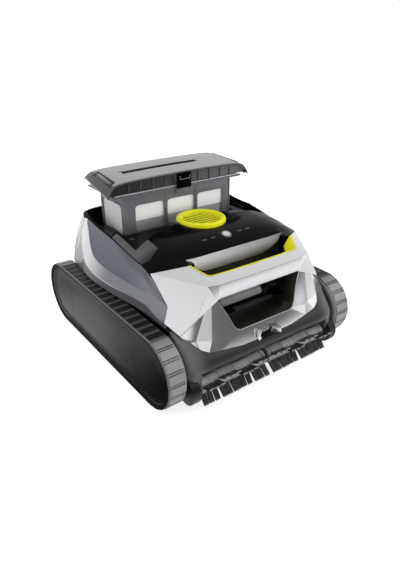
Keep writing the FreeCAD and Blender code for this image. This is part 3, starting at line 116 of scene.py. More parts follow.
def two_tones(tree, amount, first, second, start=0.0, end=1.0):
    ramp = add_node(tree, "ValToRGB")
    for element, position, tone in zip(ramp.color_ramp.elements, (start, end), (first, second)):
        element.position = position
        element.color = (*tone, 1.0)
    tree.links.new(amount, ramp.inputs["Fac"])
    return ramp.outputs["Color"]


def ray_kinds(tree, *kinds):
    """One factor that is 1 for any of the named kinds of ray."""
    path = add_node(tree, "LightPath")
    found = path.outputs[kinds[0]]
    for kind in kinds[1:]:
        found = worked_out(tree, "MAXIMUM", found, path.outputs[kind])
    return found


# ------------------------------------------------------------------ materials

def new_material(name, colour, roughness, metallic=0.0, **sockets):
    material = bpy.data.materials.new(name)
    material.use_nodes = True
    shader = material.node_tree.nodes["Principled BSDF"]
    shader.inputs["Base Color"].default_value = (*colour, 1.0)
    shader.inputs["Roughness"].default_value = roughness
    shader.inputs["Metallic"].default_value = metallic
    for socket, amount in sockets.items():
        shader.inputs[socket.replace("_", " ")].default_value = amount
    return material


def feed(material, source, socket):
    tree = material.node_tree
    tree.links.new(source, tree.nodes["Principled BSDF"].inputs[socket])


def grain(material, scale, strength, distance):
    """Moulded texture: fine noise as bump on Object coordinates."""
    tree = material.node_tree
    noise = add_node(tree, "TexNoise", Scale=scale, Detail=3.0)
    bump = add_node(tree, "Bump", Strength=strength, Distance=distance)
    tree.links.new(object_place(tree), noise.inputs["Vector"])
    tree.links.new(noise.outputs["Fac"], bump.inputs["Height"])
    feed(material, bump.outputs["Normal"], "Normal")
    return material


def mottle(material, first, second, scale, socket="Base Color"):
    """Slow variation between two colours, or two greys for a plain socket."""
    tree = material.node_tree
    noise = add_node(tree, "TexNoise", Scale=scale, Detail=4.0)
    tree.links.new(object_place(tree), noise.inputs["Vector"])
    feed(material, two_tones(tree, noise.outputs["Fac"], first, second, 0.35, 0.65), socket)


def fade(material, axis, start, end, first, second, both_ways=False):
    """Change the colour evenly along one axis between two places, or the same way towards both ends."""
    tree = material.node_tree
    along = place_along(tree, axis)
    if both_ways:
        along = worked_out(tree, "ABSOLUTE", along)
    feed(material, two_tones(tree, eased(tree, along, start, end), first, second), "Base Color")


def surface(name, colour, roughness, bump, mottled=None, faded=None, **sockets):
    """A finish: its plain colour or the mottle or fade in its place, and its moulded texture."""
    material = new_material(name, colour, roughness, **sockets)
    if mottled:
        mottle(material, *mottled)
    if faded:
        fade(material, *faded)
    return grain(material, *bump)


def grey(level, blue=0.0):
    """A grey, with as much more blue as is asked for."""
    return (level, level, level + blue)


PAINT = (2500.0, 0.04, 0.0001)
RUBBER = (1200.0, 0.25, 0.0002)
COARSE_RUBBER = (1400.0, 0.2, 0.0002)
FINE_MOULD = (1500.0, 0.1, 0.0001)
SATIN_MOULD = (1800.0, 0.12, 0.0001)
"""Moulded textures: scale, strength and depth in metres."""


def highlight_silver_paint(name, metallic):
    return surface(name, (0.92, 0.922, 0.93), 0.26, PAINT, metallic=metallic,
                   mottled=((0.905, 0.907, 0.915), (0.935, 0.937, 0.945), 900.0))


def shaded_flank_blend(name, roughness, metallic, start, end, first, second):
    """Silver paint faded darker towards the front as painted shade: it runs from the dark of the flank to the
    silver of the rear.
    """
    return surface(name, second, roughness, PAINT, metallic=metallic,
                   faded=("Y", frame_y(start), frame_y(end), first, second))


def belt_rubber(name, tone, roughness, specular):
    return surface(name, tone, roughness, RUBBER, Specular_IOR_Level=specular)


def plain_metal(name, colour, roughness):
    return surface(name, colour, roughness, (800.0, 0.08, 0.0001), metallic=1.0,
                   mottled=(tuple(c * 0.93 for c in colour), colour, 300.0))


def plain_plastic(name, colour, roughness, faded=None):
    return surface(name, colour, roughness, FINE_MOULD, faded=faded,
                   mottled=None if faded else (tuple(c * 0.9 for c in colour), colour, 120.0))


def filter_mesh():
    """White woven mesh: two crossed waves as bump and a slight change of tone."""
    material = new_material("white_filter_weave", (0.86, 0.87, 0.88), 0.7)
    tree = material.node_tree
    threads = []
    for direction in ("X", "Z"):
        wave = add_node(tree, "TexWave", Scale=260.0)
        wave.bands_direction = direction
        tree.links.new(object_place(tree), wave.inputs["Vector"])
        threads.append(wave.outputs["Fac"])
    height = worked_out(tree, "ADD", *threads)
    bump = add_node(tree, "Bump", Strength=0.5, Distance=0.0003)
    tree.links.new(height, bump.inputs["Height"])
    feed(material, two_tones(tree, height, (0.93, 0.935, 0.94), grey(0.985)), "Base Color")
    feed(material, bump.outputs["Normal"], "Normal")
    return material


SILVER = surface("silver_paint", (0.86, 0.865, 0.885), 0.22, PAINT, metallic=0.9, Coat_Weight=0.2,
                 Coat_Roughness=0.12, mottled=((0.845, 0.85, 0.875), (0.875, 0.88, 0.9), 900.0))
# the flank panel is painted lighter towards the front as painted light, to meet the band's painted shade
# there
FLANK = surface("flank_paint_lit_front", (0.125, 0.137, 0.165), 0.27, PAINT, metallic=0.75, Coat_Weight=0.15,
                Coat_Roughness=0.15,
                faded=("Y", frame_y(-150), frame_y(-40), (0.21, 0.218, 0.24), (0.118, 0.13, 0.158)))
# the band and skirt under the flank's waist: silver darkened towards the front as painted shade
SHADED_BAND = shaded_flank_blend("flank_band_painted_shade", 0.28, 0.7, 0, 116, (0.225, 0.233, 0.255), (0.82, 0.825, 0.84))
# the thin line along the flank's ridge: a painted highlight, dimmer towards the front
HIGHLIGHT_STREAK = shaded_flank_blend("flank_line_painted_highlight", 0.3, 0.3, -130, 80, (0.26, 0.265, 0.28), grey(0.95, 0.005))
SHADED_SKIRT = shaded_flank_blend("flank_skirt_painted_shade", 0.42, 0.15, 0, 118, (0.13, 0.136, 0.15), (0.36, 0.365, 0.38))
# paler copies of the silver, used as painted highlights on chosen front facets
HIGHLIGHT_SILVER = highlight_silver_paint("silver_painted_highlight", 0.25)
SOFT_HIGHLIGHT_SILVER = highlight_silver_paint("silver_soft_painted_highlight", 0.5)
# lighter at the left end and darker at the right: painted light and shade
FASCIA_SHADED = surface("fascia_brushed_plate_painted_light", grey(0.55, 0.01), 0.4, (2500.0, 0.05, 0.0001),
                 Specular_IOR_Level=0.25, faded=("X", -0.11, 0.11, grey(0.6, 0.04), grey(0.29, 0.02)))

GLOSS = surface("gloss_black_plastic", (0.0015, 0.0015, 0.0018), 0.14, (60.0, 0.02, 0.0002),
                Specular_IOR_Level=0.06, mottled=(grey(0.12), grey(0.17), 40.0, "Roughness"))
SATIN = surface("satin_black_plastic", grey(0.024, 0.001), 0.34, SATIN_MOULD,
                mottled=(grey(0.021, 0.001), grey(0.027, 0.001), 60.0))
# darker towards the front: painted shade
COVER_SHADED_FRONT = surface("track_cover_painted_shade", grey(0.012, 0.001), 0.33, (1500.0, 0.12, 0.0001),
                Specular_IOR_Level=0.3, faded=("Y", -0.13, 0.06, grey(0.003, 0.0005), grey(0.036, 0.001)))
# lighter towards both ends: a painted highlight
BUMPER_LIT_ENDS = surface("bumper_satin_painted_highlight", grey(0.024, 0.001), 0.34, SATIN_MOULD,
                 faded=("X", 0.132, 0.170, grey(0.03, 0.001), grey(0.12), True))
CORNER = surface("deck_corner_plastic", grey(0.075, 0.002), 0.4, (1600.0, 0.1, 0.0001),
                 faded=("Y", frame_y(-100), frame_y(-72), grey(0.006), grey(0.08, 0.002)))
LIME = surface("lime_plastic", (0.78, 0.75, 0.01), 0.45, (1600.0, 0.1, 0.0001), Specular_IOR_Level=0.22,
               mottled=((0.70, 0.68, 0.012), (0.75, 0.73, 0.018), 90.0))
LIME_DARK = plain_plastic("lime_shadow_plastic", (0.09, 0.088, 0.003), 0.5)

# lighter at both bends of the belt: a painted sheen
TREAD_LIT_BENDS = surface("track_rubber_painted_sheen", grey(0.05, 0.001), 0.36, RUBBER, Specular_IOR_Level=0.6,
                faded=("Y", 0.155, 0.222, grey(0.062, 0.001), grey(0.27, 0.002), True))
# lit and shaded copies of the rubber: a painted highlight for edges, painted shade for lug tops and the outer
# side
TREAD_EDGE_HIGHLIGHT = belt_rubber("track_rubber_painted_edge_highlight", grey(0.13, 0.002), 0.42, 0.35)
TREAD_TOP_SHADE = belt_rubber("track_rubber_painted_top_shade", grey(0.008, 0.0003), 0.4, 0.16)
TREAD_SIDE_SHADE = belt_rubber("track_rubber_painted_side_shade", grey(0.006, 0.0002), 0.45, 0.14)
BLADE = surface("brush_blade_rubber", (0.026, 0.025, 0.023), 0.42, COARSE_RUBBER,
                mottled=((0.022, 0.021, 0.02), (0.03, 0.029, 0.027), 240.0))
# pale grey for the fingers' tips and ends: a painted highlight
BLADE_HIGHLIGHT = plain_plastic("blade_painted_highlight", (0.24, 0.238, 0.23), 0.45)
ROLLER = surface("roller_grey_plastic", grey(0.3, -0.005), 0.42, (900.0, 0.2, 0.0002),
                 mottled=(grey(0.27, -0.005), grey(0.33, -0.005), 160.0))

LID = surface("smoked_lid_plastic", grey(0.075, 0.003), 0.3, (1500.0, 0.08, 0.0001),
              Transmission_Weight=0.12, IOR=1.45, mottled=(grey(0.068, 0.003), grey(0.084, 0.003), 50.0))
# a paler copy of the lid for its upward faces: a painted highlight
LID_TOP_HIGHLIGHT = plain_plastic("lid_top_painted_highlight", grey(0.29, 0.004), 0.38)
LID_DARK = surface("lid_end_plastic", grey(0.022, 0.002), 0.34, (1500.0, 0.15, 0.0001),
                   Specular_IOR_Level=0.24)
# darker at the left end and lighter at the right: painted shade
LID_WALL_SHADED = plain_plastic("lid_wall_painted_shade", grey(0.06, 0.002), 0.3,
                         ("X", -0.16, 0.17, grey(0.022, 0.002), grey(0.12, 0.003)))
CLEAR_RIB = plain_plastic("clear_rib_plastic", grey(0.13, 0.003), 0.3)
CLEAR_LIP = plain_plastic("clear_lip_plastic", grey(0.55, 0.01), 0.25)
BASKET = surface("basket_grey_plastic", (0.15, 0.157, 0.172), 0.28, (1500.0, 0.06, 0.0001),
                 Specular_IOR_Level=0.5, mottled=((0.143, 0.15, 0.165), (0.158, 0.165, 0.181), 70.0))
WEAVE = filter_mesh()
WEAVE_LOW = plain_plastic("filter_weave_greyer_below", grey(0.40, 0.002), 0.6)

STEEL = plain_metal("brushed_pin_steel", grey(0.58, 0.01), 0.28)
BRIGHT = plain_metal("bright_hook_steel", grey(0.86, 0.01), 0.18)
CASTING = plain_metal("motor_can_metal", grey(0.42, 0.02), 0.4)
GEAR_CASE = plain_plastic("gear_case_plastic", grey(0.008), 0.4)
# thin grey rods on black edges and folds: painted highlights
GLINT_GREY = plain_plastic("edge_painted_highlight", grey(0.30, -0.02), 0.3)
TRAY = plain_plastic("recess_tray_plastic", grey(0.012, -0.004), 0.2)
# light grey for the lit stretch of the grip bar: a painted reflection
GRIP_REFLECTION = plain_plastic("grip_bar_painted_reflection", grey(0.2, 0.002), 0.32)
# painted shade with a painted lime bounce, for the pocket behind the handle
POCKET_SHADE = plain_plastic("pocket_painted_shade_lime_bounce", (0.045, 0.044, 0.03), 0.4)
NYLON = plain_plastic("dark_nylon", grey(0.07, 0.004), 0.45)
MATT = plain_plastic("screw_eyelet_plastic", grey(0.075, 0.002), 0.5)
KEY = plain_plastic("button_grey_plastic", (0.55, 0.56, 0.57), 0.35)
LIGHT_BAR = plain_plastic("light_bar_plastic", (0.03, 0.029, 0.027), 0.3)
WRAP = plain_plastic("battery_wrap_film", (0.03, 0.07, 0.2), 0.3)
BOARD = plain_plastic("green_board_lacquer", (0.01, 0.12, 0.05), 0.35)


# ------------------------------------------------------------------ making pieces

def nothing_selected():
    if bpy.context.object and bpy.context.object.mode != "OBJECT":
        bpy.ops.object.mode_set(mode="OBJECT")
    bpy.ops.object.select_all(action="DESELECT")


def only(piece):
    nothing_selected()
    piece.select_set(True)
    bpy.context.view_layer.objects.active = piece


def start_edit(piece, action="SELECT"):
    """Open a piece in edit mode with all of it selected, or none."""
    only(piece)
    bpy.ops.object.mode_set(mode="EDIT")
    bpy.ops.mesh.select_all(action=action)


def end_edit():
    bpy.ops.object.mode_set(mode="OBJECT")


def bake_place(piece):
    """Put a piece's place into its mesh, so that its object stands at the origin."""
    only(piece)
    bpy.ops.object.transform_apply(location=True, rotation=True, scale=True)


def apply_modifier(piece, kind, **settings):
    only(piece)
    modifier = piece.modifiers.new(kind.lower(), kind)
    for name, setting in settings.items():
        setattr(modifier, name, setting)
    bpy.ops.object.modifier_apply(modifier=modifier.name)


def smooth(piece, degrees=35.0):
    only(piece)
    bpy.ops.object.shade_smooth_by_angle(angle=math.radians(degrees))


def bevel(piece, width, segments, degrees=30.0):
    apply_modifier(piece, "BEVEL", width=width * MM, segments=segments, limit_method="ANGLE",
                   angle_limit=math.radians(degrees))


def soften(piece, width, segments=2, degrees=30.0):
    bevel(piece, width, segments, degrees)
    smooth(piece)


def thicken(piece, depth, offset=0.0):
    """Give an open sheet a wall: centred on the sheet, or all on its inner side with an offset of -1."""
    apply_modifier(piece, "SOLIDIFY", thickness=depth * MM, offset=offset)


def subdivide(piece):
    apply_modifier(piece, "SUBSURF", levels=2, render_levels=2, boundary_smooth="PRESERVE_CORNERS")


def mirror_about_middle(piece):
    apply_modifier(piece, "MIRROR", use_axis=(True, False, False), use_clip=True, merge_threshold=0.0003)


def both_halves(piece):
    """Turn a right half outwards and join it with its mirror image."""
    outward(piece)
    mirror_about_middle(piece)


def finish(piece, material, body, replaced=()):
    """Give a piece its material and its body."""
    if not piece.data.materials:
        piece.data.materials.append(material)
    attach(piece, body)
    if replaced:
        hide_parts(*replaced)
    return piece


def block(name, low, high, radius=0.0, segments=2):
    """A box between two corners, with its edges rounded."""
    nothing_selected()
    bpy.ops.mesh.primitive_cube_add(size=1.0)
    piece = bpy.context.object
    piece.name = name
    piece.location = (spot(*low) + spot(*high)) / 2
    piece.scale = [abs(b - a) * MM for a, b in zip(low, high)]
    bake_place(piece)
    if radius:
        soften(piece, radius, segments)
    return piece


def sheet(name, places, edges, faces):
    """A mesh of given corners as a piece of its own."""
    mesh = bpy.data.meshes.new(name)
    mesh.from_pydata(places, edges, faces)
    piece = bpy.data.objects.new(name, mesh)
    bpy.context.scene.collection.objects.link(piece)
    return piece


def facets(name, points, faces):
    """A mesh of named corners: points maps a word to a place, faces are lists of those words."""
    order = list(points)
    piece = sheet(name, [spot(*points[word]) for word in order], [],
                  [[order.index(word) for word in face] for face in faces])
    piece.data.validate()
    return piece


def prism(name, first, last):
    """A solid between two outlines of one number of places."""
    count = len(first)
    faces = [list(range(count)), list(range(2 * count - 1, count - 1, -1))]
    for one in range(count):
        other = (one + 1) % count
        faces.append([one, other, count + other, count + one])
    piece = sheet(name, first + last, [], faces)
    outward(piece)
    return piece


def loft(name, rows):
    """A grid of quads through rows of places, all rows of one length."""
    nothing_selected()
    across = len(rows[0])
    bpy.ops.mesh.primitive_grid_add(x_subdivisions=across - 1, y_subdivisions=len(rows) - 1, size=1.0)
    piece = bpy.context.object
    piece.name = name
    piece.location = (0, 0, 0)
    for index, vertex in enumerate(piece.data.vertices):
        vertex.co = spot(*rows[index // across][index % across])
    return piece


def outward(piece):
    """Merge a piece's doubles and turn its faces outwards."""
    start_edit(piece)
    bpy.ops.mesh.remove_doubles(threshold=0.00002)
    bpy.ops.mesh.normals_make_consistent(inside=False)
    end_edit()


def close_ends(piece, close):
    """Fill every open end of a piece with an operator, then turn its faces outwards."""
    start_edit(piece, "DESELECT")
    bpy.ops.mesh.select_non_manifold()
    close()
    end_edit()
    outward(piece)


def twin(piece, name):
    """A mirrored copy of a right-hand piece, for the left."""
    copy = piece.copy()
    copy.data = piece.data.copy()
    copy.name = name
    bpy.context.scene.collection.objects.link(copy)
    copy.scale = (-1, 1, 1)
    bake_place(copy)
    start_edit(copy)
    bpy.ops.mesh.flip_normals()
    end_edit()
    return copy


def joined(name, pieces):
    nothing_selected()
    for piece in pieces:
        piece.select_set(True)
    bpy.context.view_layer.objects.active = pieces[0]
    bpy.ops.object.join()
    whole = bpy.context.object
    whole.name = name
    return whole


def turned(name, profile, centre, axis="z", steps=64):
    """A solid of revolution: profile is (radius, along) pairs, closed on itself."""
    count = len(profile)
    piece = sheet(name, [Vector((radius * MM, 0, along * MM)) for radius, along in profile],
                  [(index, (index + 1) % count) for index in range(count)], [])
    apply_modifier(piece, "SCREW", steps=steps, render_steps=steps, axis="Z", use_merge_vertices=True,
                   merge_threshold=0.00001)
    quarter = math.pi / 2
    piece.rotation_euler = {"x": (0, quarter, 0), "y": (-quarter, 0, 0), "z": (0, 0, 0)}[axis]
    piece.location = spot(*centre)
    bake_place(piece)
    outward(piece)
    smooth(piece)
    return piece


def rod(name, start, end, radius, vertices=16):
    """A plain round bar between two places."""
    nothing_selected()
    first, last = spot(*start), spot(*end)
    bpy.ops.mesh.primitive_cylinder_add(vertices=vertices, radius=radius * MM, depth=(last - first).length)
    piece = bpy.context.object
    piece.name = name
    piece.rotation_euler = (last - first).to_track_quat("Z", "Y").to_euler()
    piece.location = (first + last) / 2
    bake_place(piece)
    return piece


def combine(piece, operation, tools):
    """Apply each tool to a piece, and remove the tool."""
    for tool in tools:
        only(piece)
        modifier = piece.modifiers.new("combine", "BOOLEAN")
        modifier.operation = operation
        modifier.solver = "EXACT"
        modifier.object = tool
        bpy.ops.object.modifier_apply(modifier=modifier.name)
        bpy.data.objects.remove(tool, do_unlink=True)


def carve(piece, *tools):
    combine(piece, "DIFFERENCE", tools)


def dress(material, *nodes):
    """Give CAD nodes that stay visible a better material."""
    for node in nodes:
        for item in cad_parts[node].material_slots:
            item.material = material


def between(table, y):
    """Read a table of (y, value) pairs at y, in straight runs."""
    if y <= table[0][0]:
        return table[0][1]
    for (y0, v0), (y1, v1) in zip(table, table[1:]):
        if y <= y1:
            return v0 + (v1 - v0) * (y - y0) / (y1 - y0)
    return table[-1][1]


# ------------------------------------------------------------------ tracks

BELT_OUT, BELT_IN = 220.0, 182.0
BELT_RADIUS = AXLE_Z            # over the lugs
LUGS = 52
LUG_SHARE = 0.70                # of each pitch is the flat lug, the rest is the two grooves
LUG_STOPS = [0.0, 0.018, 0.35, 0.682, 0.70, 0.712, 0.79, 0.80, 0.812, 0.873, 0.885, 0.897, 0.985]
"""The shares of one pitch at which the belt gets a cross-section."""
GROOVE, RIDGE = 4.2, 0.9        # how deep the two grooves and the ridge between them lie
MARK_RADIUS = 49.0


def loop_place(along, radius):
    """The y and z of a place on a stadium of the wheelbase, at a share 0..1 of its length: rearwards over
    the top and round the end, then the same turned about the middle."""
    straight = 2 * AXLE_Y
    half = straight + math.pi * BELT_RADIUS
    run = (along % 1.0) * 2 * half
    side = 1
    if run >= half:
        run -= half
        side = -1
    if run < straight:
        return side * (AXLE_Y - run), AXLE_Z + side * radius
    angle = (run - straight) / BELT_RADIUS
    return -side * (AXLE_Y + radius * math.sin(angle)), AXLE_Z + side * radius * math.cos(angle)


def sunk_face(share):
    """How deep the belt's outer face lies at a share 0..1 of one lug pitch: a wide flat lug, then two thin
    grooves with a low ridge between."""
    if share < LUG_SHARE:
        return 0.0
    return RIDGE if 0.80 <= share < 0.885 else GROOVE


def lug_place(lug, share, radius):
    """A place on the belt.  Between its two ends a lug is flat, so that its face runs as a straight chord."""
    if share > LUG_SHARE:
        return loop_place((lug + share) / LUGS, radius)
    first = loop_place(lug / LUGS, radius)
    last = loop_place((lug + LUG_SHARE) / LUGS, radius)
    reach = share / LUG_SHARE
    return tuple(a + (b - a) * reach for a, b in zip(first, last))


def track_belt(name):
    """One belt: a closed loft of its cross-section around the stadium."""
    rows = []
    for lug in range(LUGS):
        for stop in LUG_STOPS:
            sunk = sunk_face(stop)
            section = [(BELT_IN, 9.5), (BELT_IN, 4.6), (BELT_IN + 0.8, 3.8), (BELT_IN + 2.4, max(sunk, 3.4)),
                       (BELT_IN + 3.4, sunk), (BELT_IN + 12, sunk), (BELT_OUT - 13, sunk),
                       (BELT_OUT - 5.2, sunk), (BELT_OUT - 4.2, max(sunk, 0.6)), (BELT_OUT - 3.2, 0.7),
                       (BELT_OUT - 0.7, 0.9), (BELT_OUT, 1.8), (BELT_OUT, 5.0), (BELT_OUT - 0.8, 6.0),
                       (BELT_OUT - 2.0, 6.4), (BELT_OUT - 3.0, 9.5)]
            rows.append([(x, *lug_place(lug, stop, BELT_RADIUS - inset))
                         for x, inset in section + section[:1]])
    piece = loft(name, rows + rows[:1])
    outward(piece)
    smooth(piece, 28)
    return piece


def stadium_ring(name, profile, steps=40):
    """A closed profile of (x, inset from the belt radius) swept around the stadium."""
    rows = []
    for index in range(2 * steps + 2):
        half, turn = divmod(index, steps + 1)
        angle = math.pi / 2 + math.pi * half + math.pi * turn / steps
        centre = AXLE_Y if half else -AXLE_Y
        row = []
        for x, inset in profile:
            radius = BELT_RADIUS - inset
            row.append((x, centre + radius * math.cos(angle), AXLE_Z + radius * math.sin(angle)))
        rows.append(row)
    return loft(name, rows + rows[:1])


def track_cover(name):
    """The dark panel inside the belt: a soft-edged stadium plate with a faint raised border."""
    profile = [(198.0, 9.6), (212.6, 9.6), (214.4, 10.2), (215.4, 11.4), (215.9, 13.4), (215.9, 15.4),
               (215.2, 16.4), (215.3, 17.8), (216.2, 20.0), (217.4, 26.0), (218.6, 36.0), (219.3, 48.0),
               (219.6, BELT_RADIUS - 6), (219.6, BELT_RADIUS - 0.01)]
    piece = stadium_ring(name, profile)
    outward(piece)
    return piece


def cover_depth(reach):
    """How far out the domed cover stands at a distance from the line of the axles."""
    return between([(0, 219.6), (BELT_RADIUS - 48, 219.3), (BELT_RADIUS - 36, 218.6),
                    (BELT_RADIUS - 26, 217.4), (BELT_RADIUS - 20, 216.2)], reach)


def cover_marks(name):
    """A faint raised arc around each wheel axle, on the side towards the middle of the machine."""
    marks = []
    for end, centre in ((1, -AXLE_Y), (-1, AXLE_Y)):
        rows = []
        for step in range(25):
            angle = math.radians(-60 + 118 * step / 24)
            row = []
            for dx, dr in ((-0.5, -1.3), (0.3, -0.8), (0.42, 0.0), (0.3, 0.8), (-0.5, 1.3)):
                reach = MARK_RADIUS + dr
                row.append((cover_depth(abs(reach * math.sin(angle))) + dx,
                            centre + end * reach * math.cos(angle), AXLE_Z + reach * math.sin(angle)))
            row.append(row[0])
            rows.append(row)
        mark = loft(name, rows)
        start_edit(mark)
        bpy.ops.mesh.remove_doubles(threshold=0.00001)
        bpy.ops.mesh.select_non_manifold()
        bpy.ops.mesh.edge_face_add()
        end_edit()
        outward(mark)
        marks.append(mark)
    whole = joined(name, marks)
    smooth(whole, 40)
    return whole


ACROSS_BELT = 16                # faces in the belt's cross-section
TOP_RUN = 0.108                 # above this height, in metres, lies the belt's upper run
right_belt = track_belt("right_track")
for rubber in (TREAD_LIT_BENDS, TREAD_SIDE_SHADE, TREAD_EDGE_HIGHLIGHT, TREAD_TOP_SHADE):
    right_belt.data.materials.append(rubber)
# by where a face lies: the outer corner and, on the upper run, the grooves and ridge take a painted
# highlight; the outer side and the upper run's wide lug tops take painted shade
for face in right_belt.data.polygons:
    stretch = face.index // ACROSS_BELT % len(LUG_STOPS)
    column = face.index % ACROSS_BELT
    if column in (9, 10):       # the outer corner
        face.material_index = 2
    elif column in (11, 12, 13, 14):        # the outer side
        face.material_index = 1
    elif face.center.z > TOP_RUN and abs(face.center.y) < AXLE_Y * MM:
        face.material_index = 3 if stretch in (1, 2) else 2
left_belt = twin(right_belt, "left_track")
finish(right_belt, TREAD_LIT_BENDS, "chassis", ["right_track_belt"])
finish(left_belt, TREAD_LIT_BENDS, "chassis", ["left_track_belt"])

right_cover = joined("right_cover_panel", [track_cover("right_cover_plate"),
                                           cover_marks("right_cover_marks")])
smooth(right_cover, 30)
left_cover = twin(right_cover, "left_cover_panel")
finish(right_cover, COVER_SHADED_FRONT, "chassis", ["right_track_cover"])
finish(left_cover, COVER_SHADED_FRONT, "chassis", ["left_track_cover"])


# ------------------------------------------------------------------ the silver front

FRONT = {
    # the band over the handle
    "inner_mid": (0, -199, 220.5), "inner_end": (97, -196.5, 220.5), "inner_turn": (104.5, -193, 221.2),
    "crease_mid": (0, -221, 213.4), "crease_end": (98, -218.5, 213.2), "corner": (117.7, -212.7, 213.5),
    "under_mid": (0, -213.5, 183), "under_end": (92, -213.5, 183), "recess_top": (97, -213.3, 181.5),
    # beside the opening
    "open_side": (108.5, -186, 224), "open_top": (120.5, -163.9, 234.0),
    # the shoulder and the wing
    "shoulder": (173.2, -125, 219.4), "brow": (169.1, -169.5, 174.7), "cheek": (180.4, -175.4, 148.2),
    "wing_tip": (168.9, -205.5, 133.1), "ridge": (142.3, -218.4, 164.3),
    "edge_out": (127.2, -216.8, 170), "edge_in": (111.5, -215, 176),
    # the fan under the wing
    "fan_tip": (157, -213.5, 120), "fan_out": (146, -219, 123), "fan_mid": (117, -224.5, 115),
    "fan_in": (107, -227, 112), "recess_side": (82, -221, 155), "recess_turn": (74, -227.5, 136),
    "recess_foot": (69, -231.5, 126), "recess_floor": (60, -233.4, 122),
    "recess_floor_mid": (0, -233.6, 122), "lip_out": (143, -227, 106.5), "lip_mid": (128, -233, 101),
    "lip_in": (103, -236, 97.6), "lip_low": (60, -241, 90.5), "lip_low_mid": (0, -242, 88.5),
}

FRONT_FACES = [
    ["inner_mid", "inner_end", "crease_end", "crease_mid"],
    ["inner_end", "inner_turn", "corner", "crease_end"],
    ["inner_turn", "open_side", "corner"],
    ["open_side", "open_top", "shoulder", "corner"],
    ["crease_mid", "crease_end", "under_end", "under_mid"],
    ["crease_end", "corner", "recess_top", "under_end"],
    ["corner", "ridge", "edge_out"], ["corner", "edge_out", "edge_in"], ["corner", "edge_in", "recess_top"],
    ["shoulder", "brow", "corner"], ["corner", "brow", "ridge"], ["brow", "cheek", "wing_tip", "ridge"],
    ["ridge", "wing_tip", "edge_out"], ["wing_tip", "fan_out", "edge_out"],
    ["wing_tip", "fan_tip", "fan_out"], ["edge_in", "edge_out", "fan_out", "fan_mid"],
    ["recess_top", "edge_in", "fan_mid", "fan_in"], ["recess_top", "fan_in", "recess_side"],
    ["recess_side", "fan_in", "recess_turn"], ["recess_turn", "fan_in", "recess_foot"],
    ["recess_foot", "fan_in", "lip_in", "recess_floor"], ["recess_floor", "lip_in", "lip_low"],
    ["recess_floor", "lip_low", "lip_low_mid", "recess_floor_mid"], ["fan_tip", "lip_out", "fan_out"],
    ["fan_out", "lip_out", "lip_mid", "fan_mid"], ["fan_mid", "lip_mid", "lip_in", "fan_in"],
]

FRONT_HIGHLIGHTS = {("corner", "ridge"): 1, ("corner", "edge_out"): 1, ("corner", "edge_in"): 1,
               ("edge_in", "edge_out"): 2, ("fan_out", "lip_out"): 1}
# Which facets take a paler silver as a painted highlight, by their first two corners: the bright edge over
# the fan, its light strip and the lip's end.
"""Which facets take a paler silver, by their first two corners: the bright edge over the fan, its light
strip and the lip's end."""

front = facets("silver_front", FRONT, FRONT_FACES)
for paint in (SILVER, HIGHLIGHT_SILVER, SOFT_HIGHLIGHT_SILVER):
    front.data.materials.append(paint)
for face, words in zip(front.data.polygons, FRONT_FACES):
    face.material_index = FRONT_HIGHLIGHTS.get((words[0], words[1]), 0)
mirror_about_middle(front)
outward(front)
apply_modifier(front, "SOLIDIFY", thickness=2.6 * MM, offset=-1.0, use_even_offset=False,
               use_quality_normals=True)
bevel(front, 2.8, 4, 7.0)
smooth(front, 40)
finish(front, SILVER, "chassis", ["front_shell"])


# ------------------------------------------------------------------ flanks and rear

SKIRT_Z, REAR_TOP_Z = 138.5, 252
SKIRT_X = [(-175, 177), (-140, 177.5), (-110, 178.5), (-64, 184), (-15, 192), (40, 196.5), (77, 196.5),
           (123, 192), (148, 188), (176, 184.5), (203, 178)]
DECK_Z = [(-171, 212), (-125, 219), (-58, 227), (10, 238.5), (68, 243), (118, 250.5), (131, 252), (150, 252)]
DECK_EDGE_X = [(-171, 173.4), (-125, 173), (10, 173), (110, 172.5), (131, 171), (143, 167), (150, 158)]
WAIST_S = [(-171, 0.50), (-118, 0.52), (-62, 0.58), (12, 0.63), (60, 0.60), (83, 0.52), (96, 0.39),
           (104, 0.20), (112, 0.08)]
STRIPE_S = [(-166, 0.94), (-119, 0.76), (-62, 0.78), (-1, 0.83), (57, 0.83), (90, 0.80), (109, 0.74),
            (122, 0.5), (135, 0.3)]


def flank_row(y):
    """One upright line of the flank from the deck's edge down to the skirt.  The upper part is hollowed,
    a soft ridge runs low along the flank, and below it the skirt turns under."""
    top_x, top_z = between(DECK_EDGE_X, y), between(DECK_Z, y)
    foot_x = between(SKIRT_X, y)
    stripe = between(STRIPE_S, y)
    waist = min(between(WAIST_S, y), stripe - 0.1)
    places = [0.0, waist * 0.33, waist * 0.66, waist * 0.93, waist, waist + 0.3 * (stripe - waist),
              waist + 0.7 * (stripe - waist), stripe - 0.012, stripe + 0.014, 1.0]
    hollow = 6.5 * math.sin(math.pi * min(1.0, max(0.0, (y + 171) / 290)))
    bow = [0.0, -hollow * 0.72, -hollow, -hollow * 0.62, -hollow * 0.3, 0.4, 2.2, 4.4, 3.6, 0.0]
    return [(top_x + (foot_x - top_x) * s + b, y, top_z + (SKIRT_Z - top_z) * s)
            for s, b in zip(places, bow)]


FLANK_Y = [-175, -153, -135, -118, -100, -80, -60, -40, -18, 4, 26, 48, 66, 80, 90, 98, 106, 114]
WING_X = [(138, 178.5), (148.2, 180.2), (174.7, 169.4), (219.4, 173.2), (260, 173)]
WING_Y = [(138, -177.6), (148.2, -176.2), (174.7, -170.3), (219.4, -125.8), (260, -110)]
"""The edge of the silver wing by height, where the flank starts: cheek, brow and shoulder."""
STRIPS = (0, 0, 0, 0, 1, 1, 1, 2, 3)
# The paint of each strip of the flank, from the deck down: flank, band, streak and skirt; band and skirt
# carry painted shade towards the front, the streak a painted highlight.
"""The paint of each strip of the flank, from the deck down: flank, band, streak and skirt."""


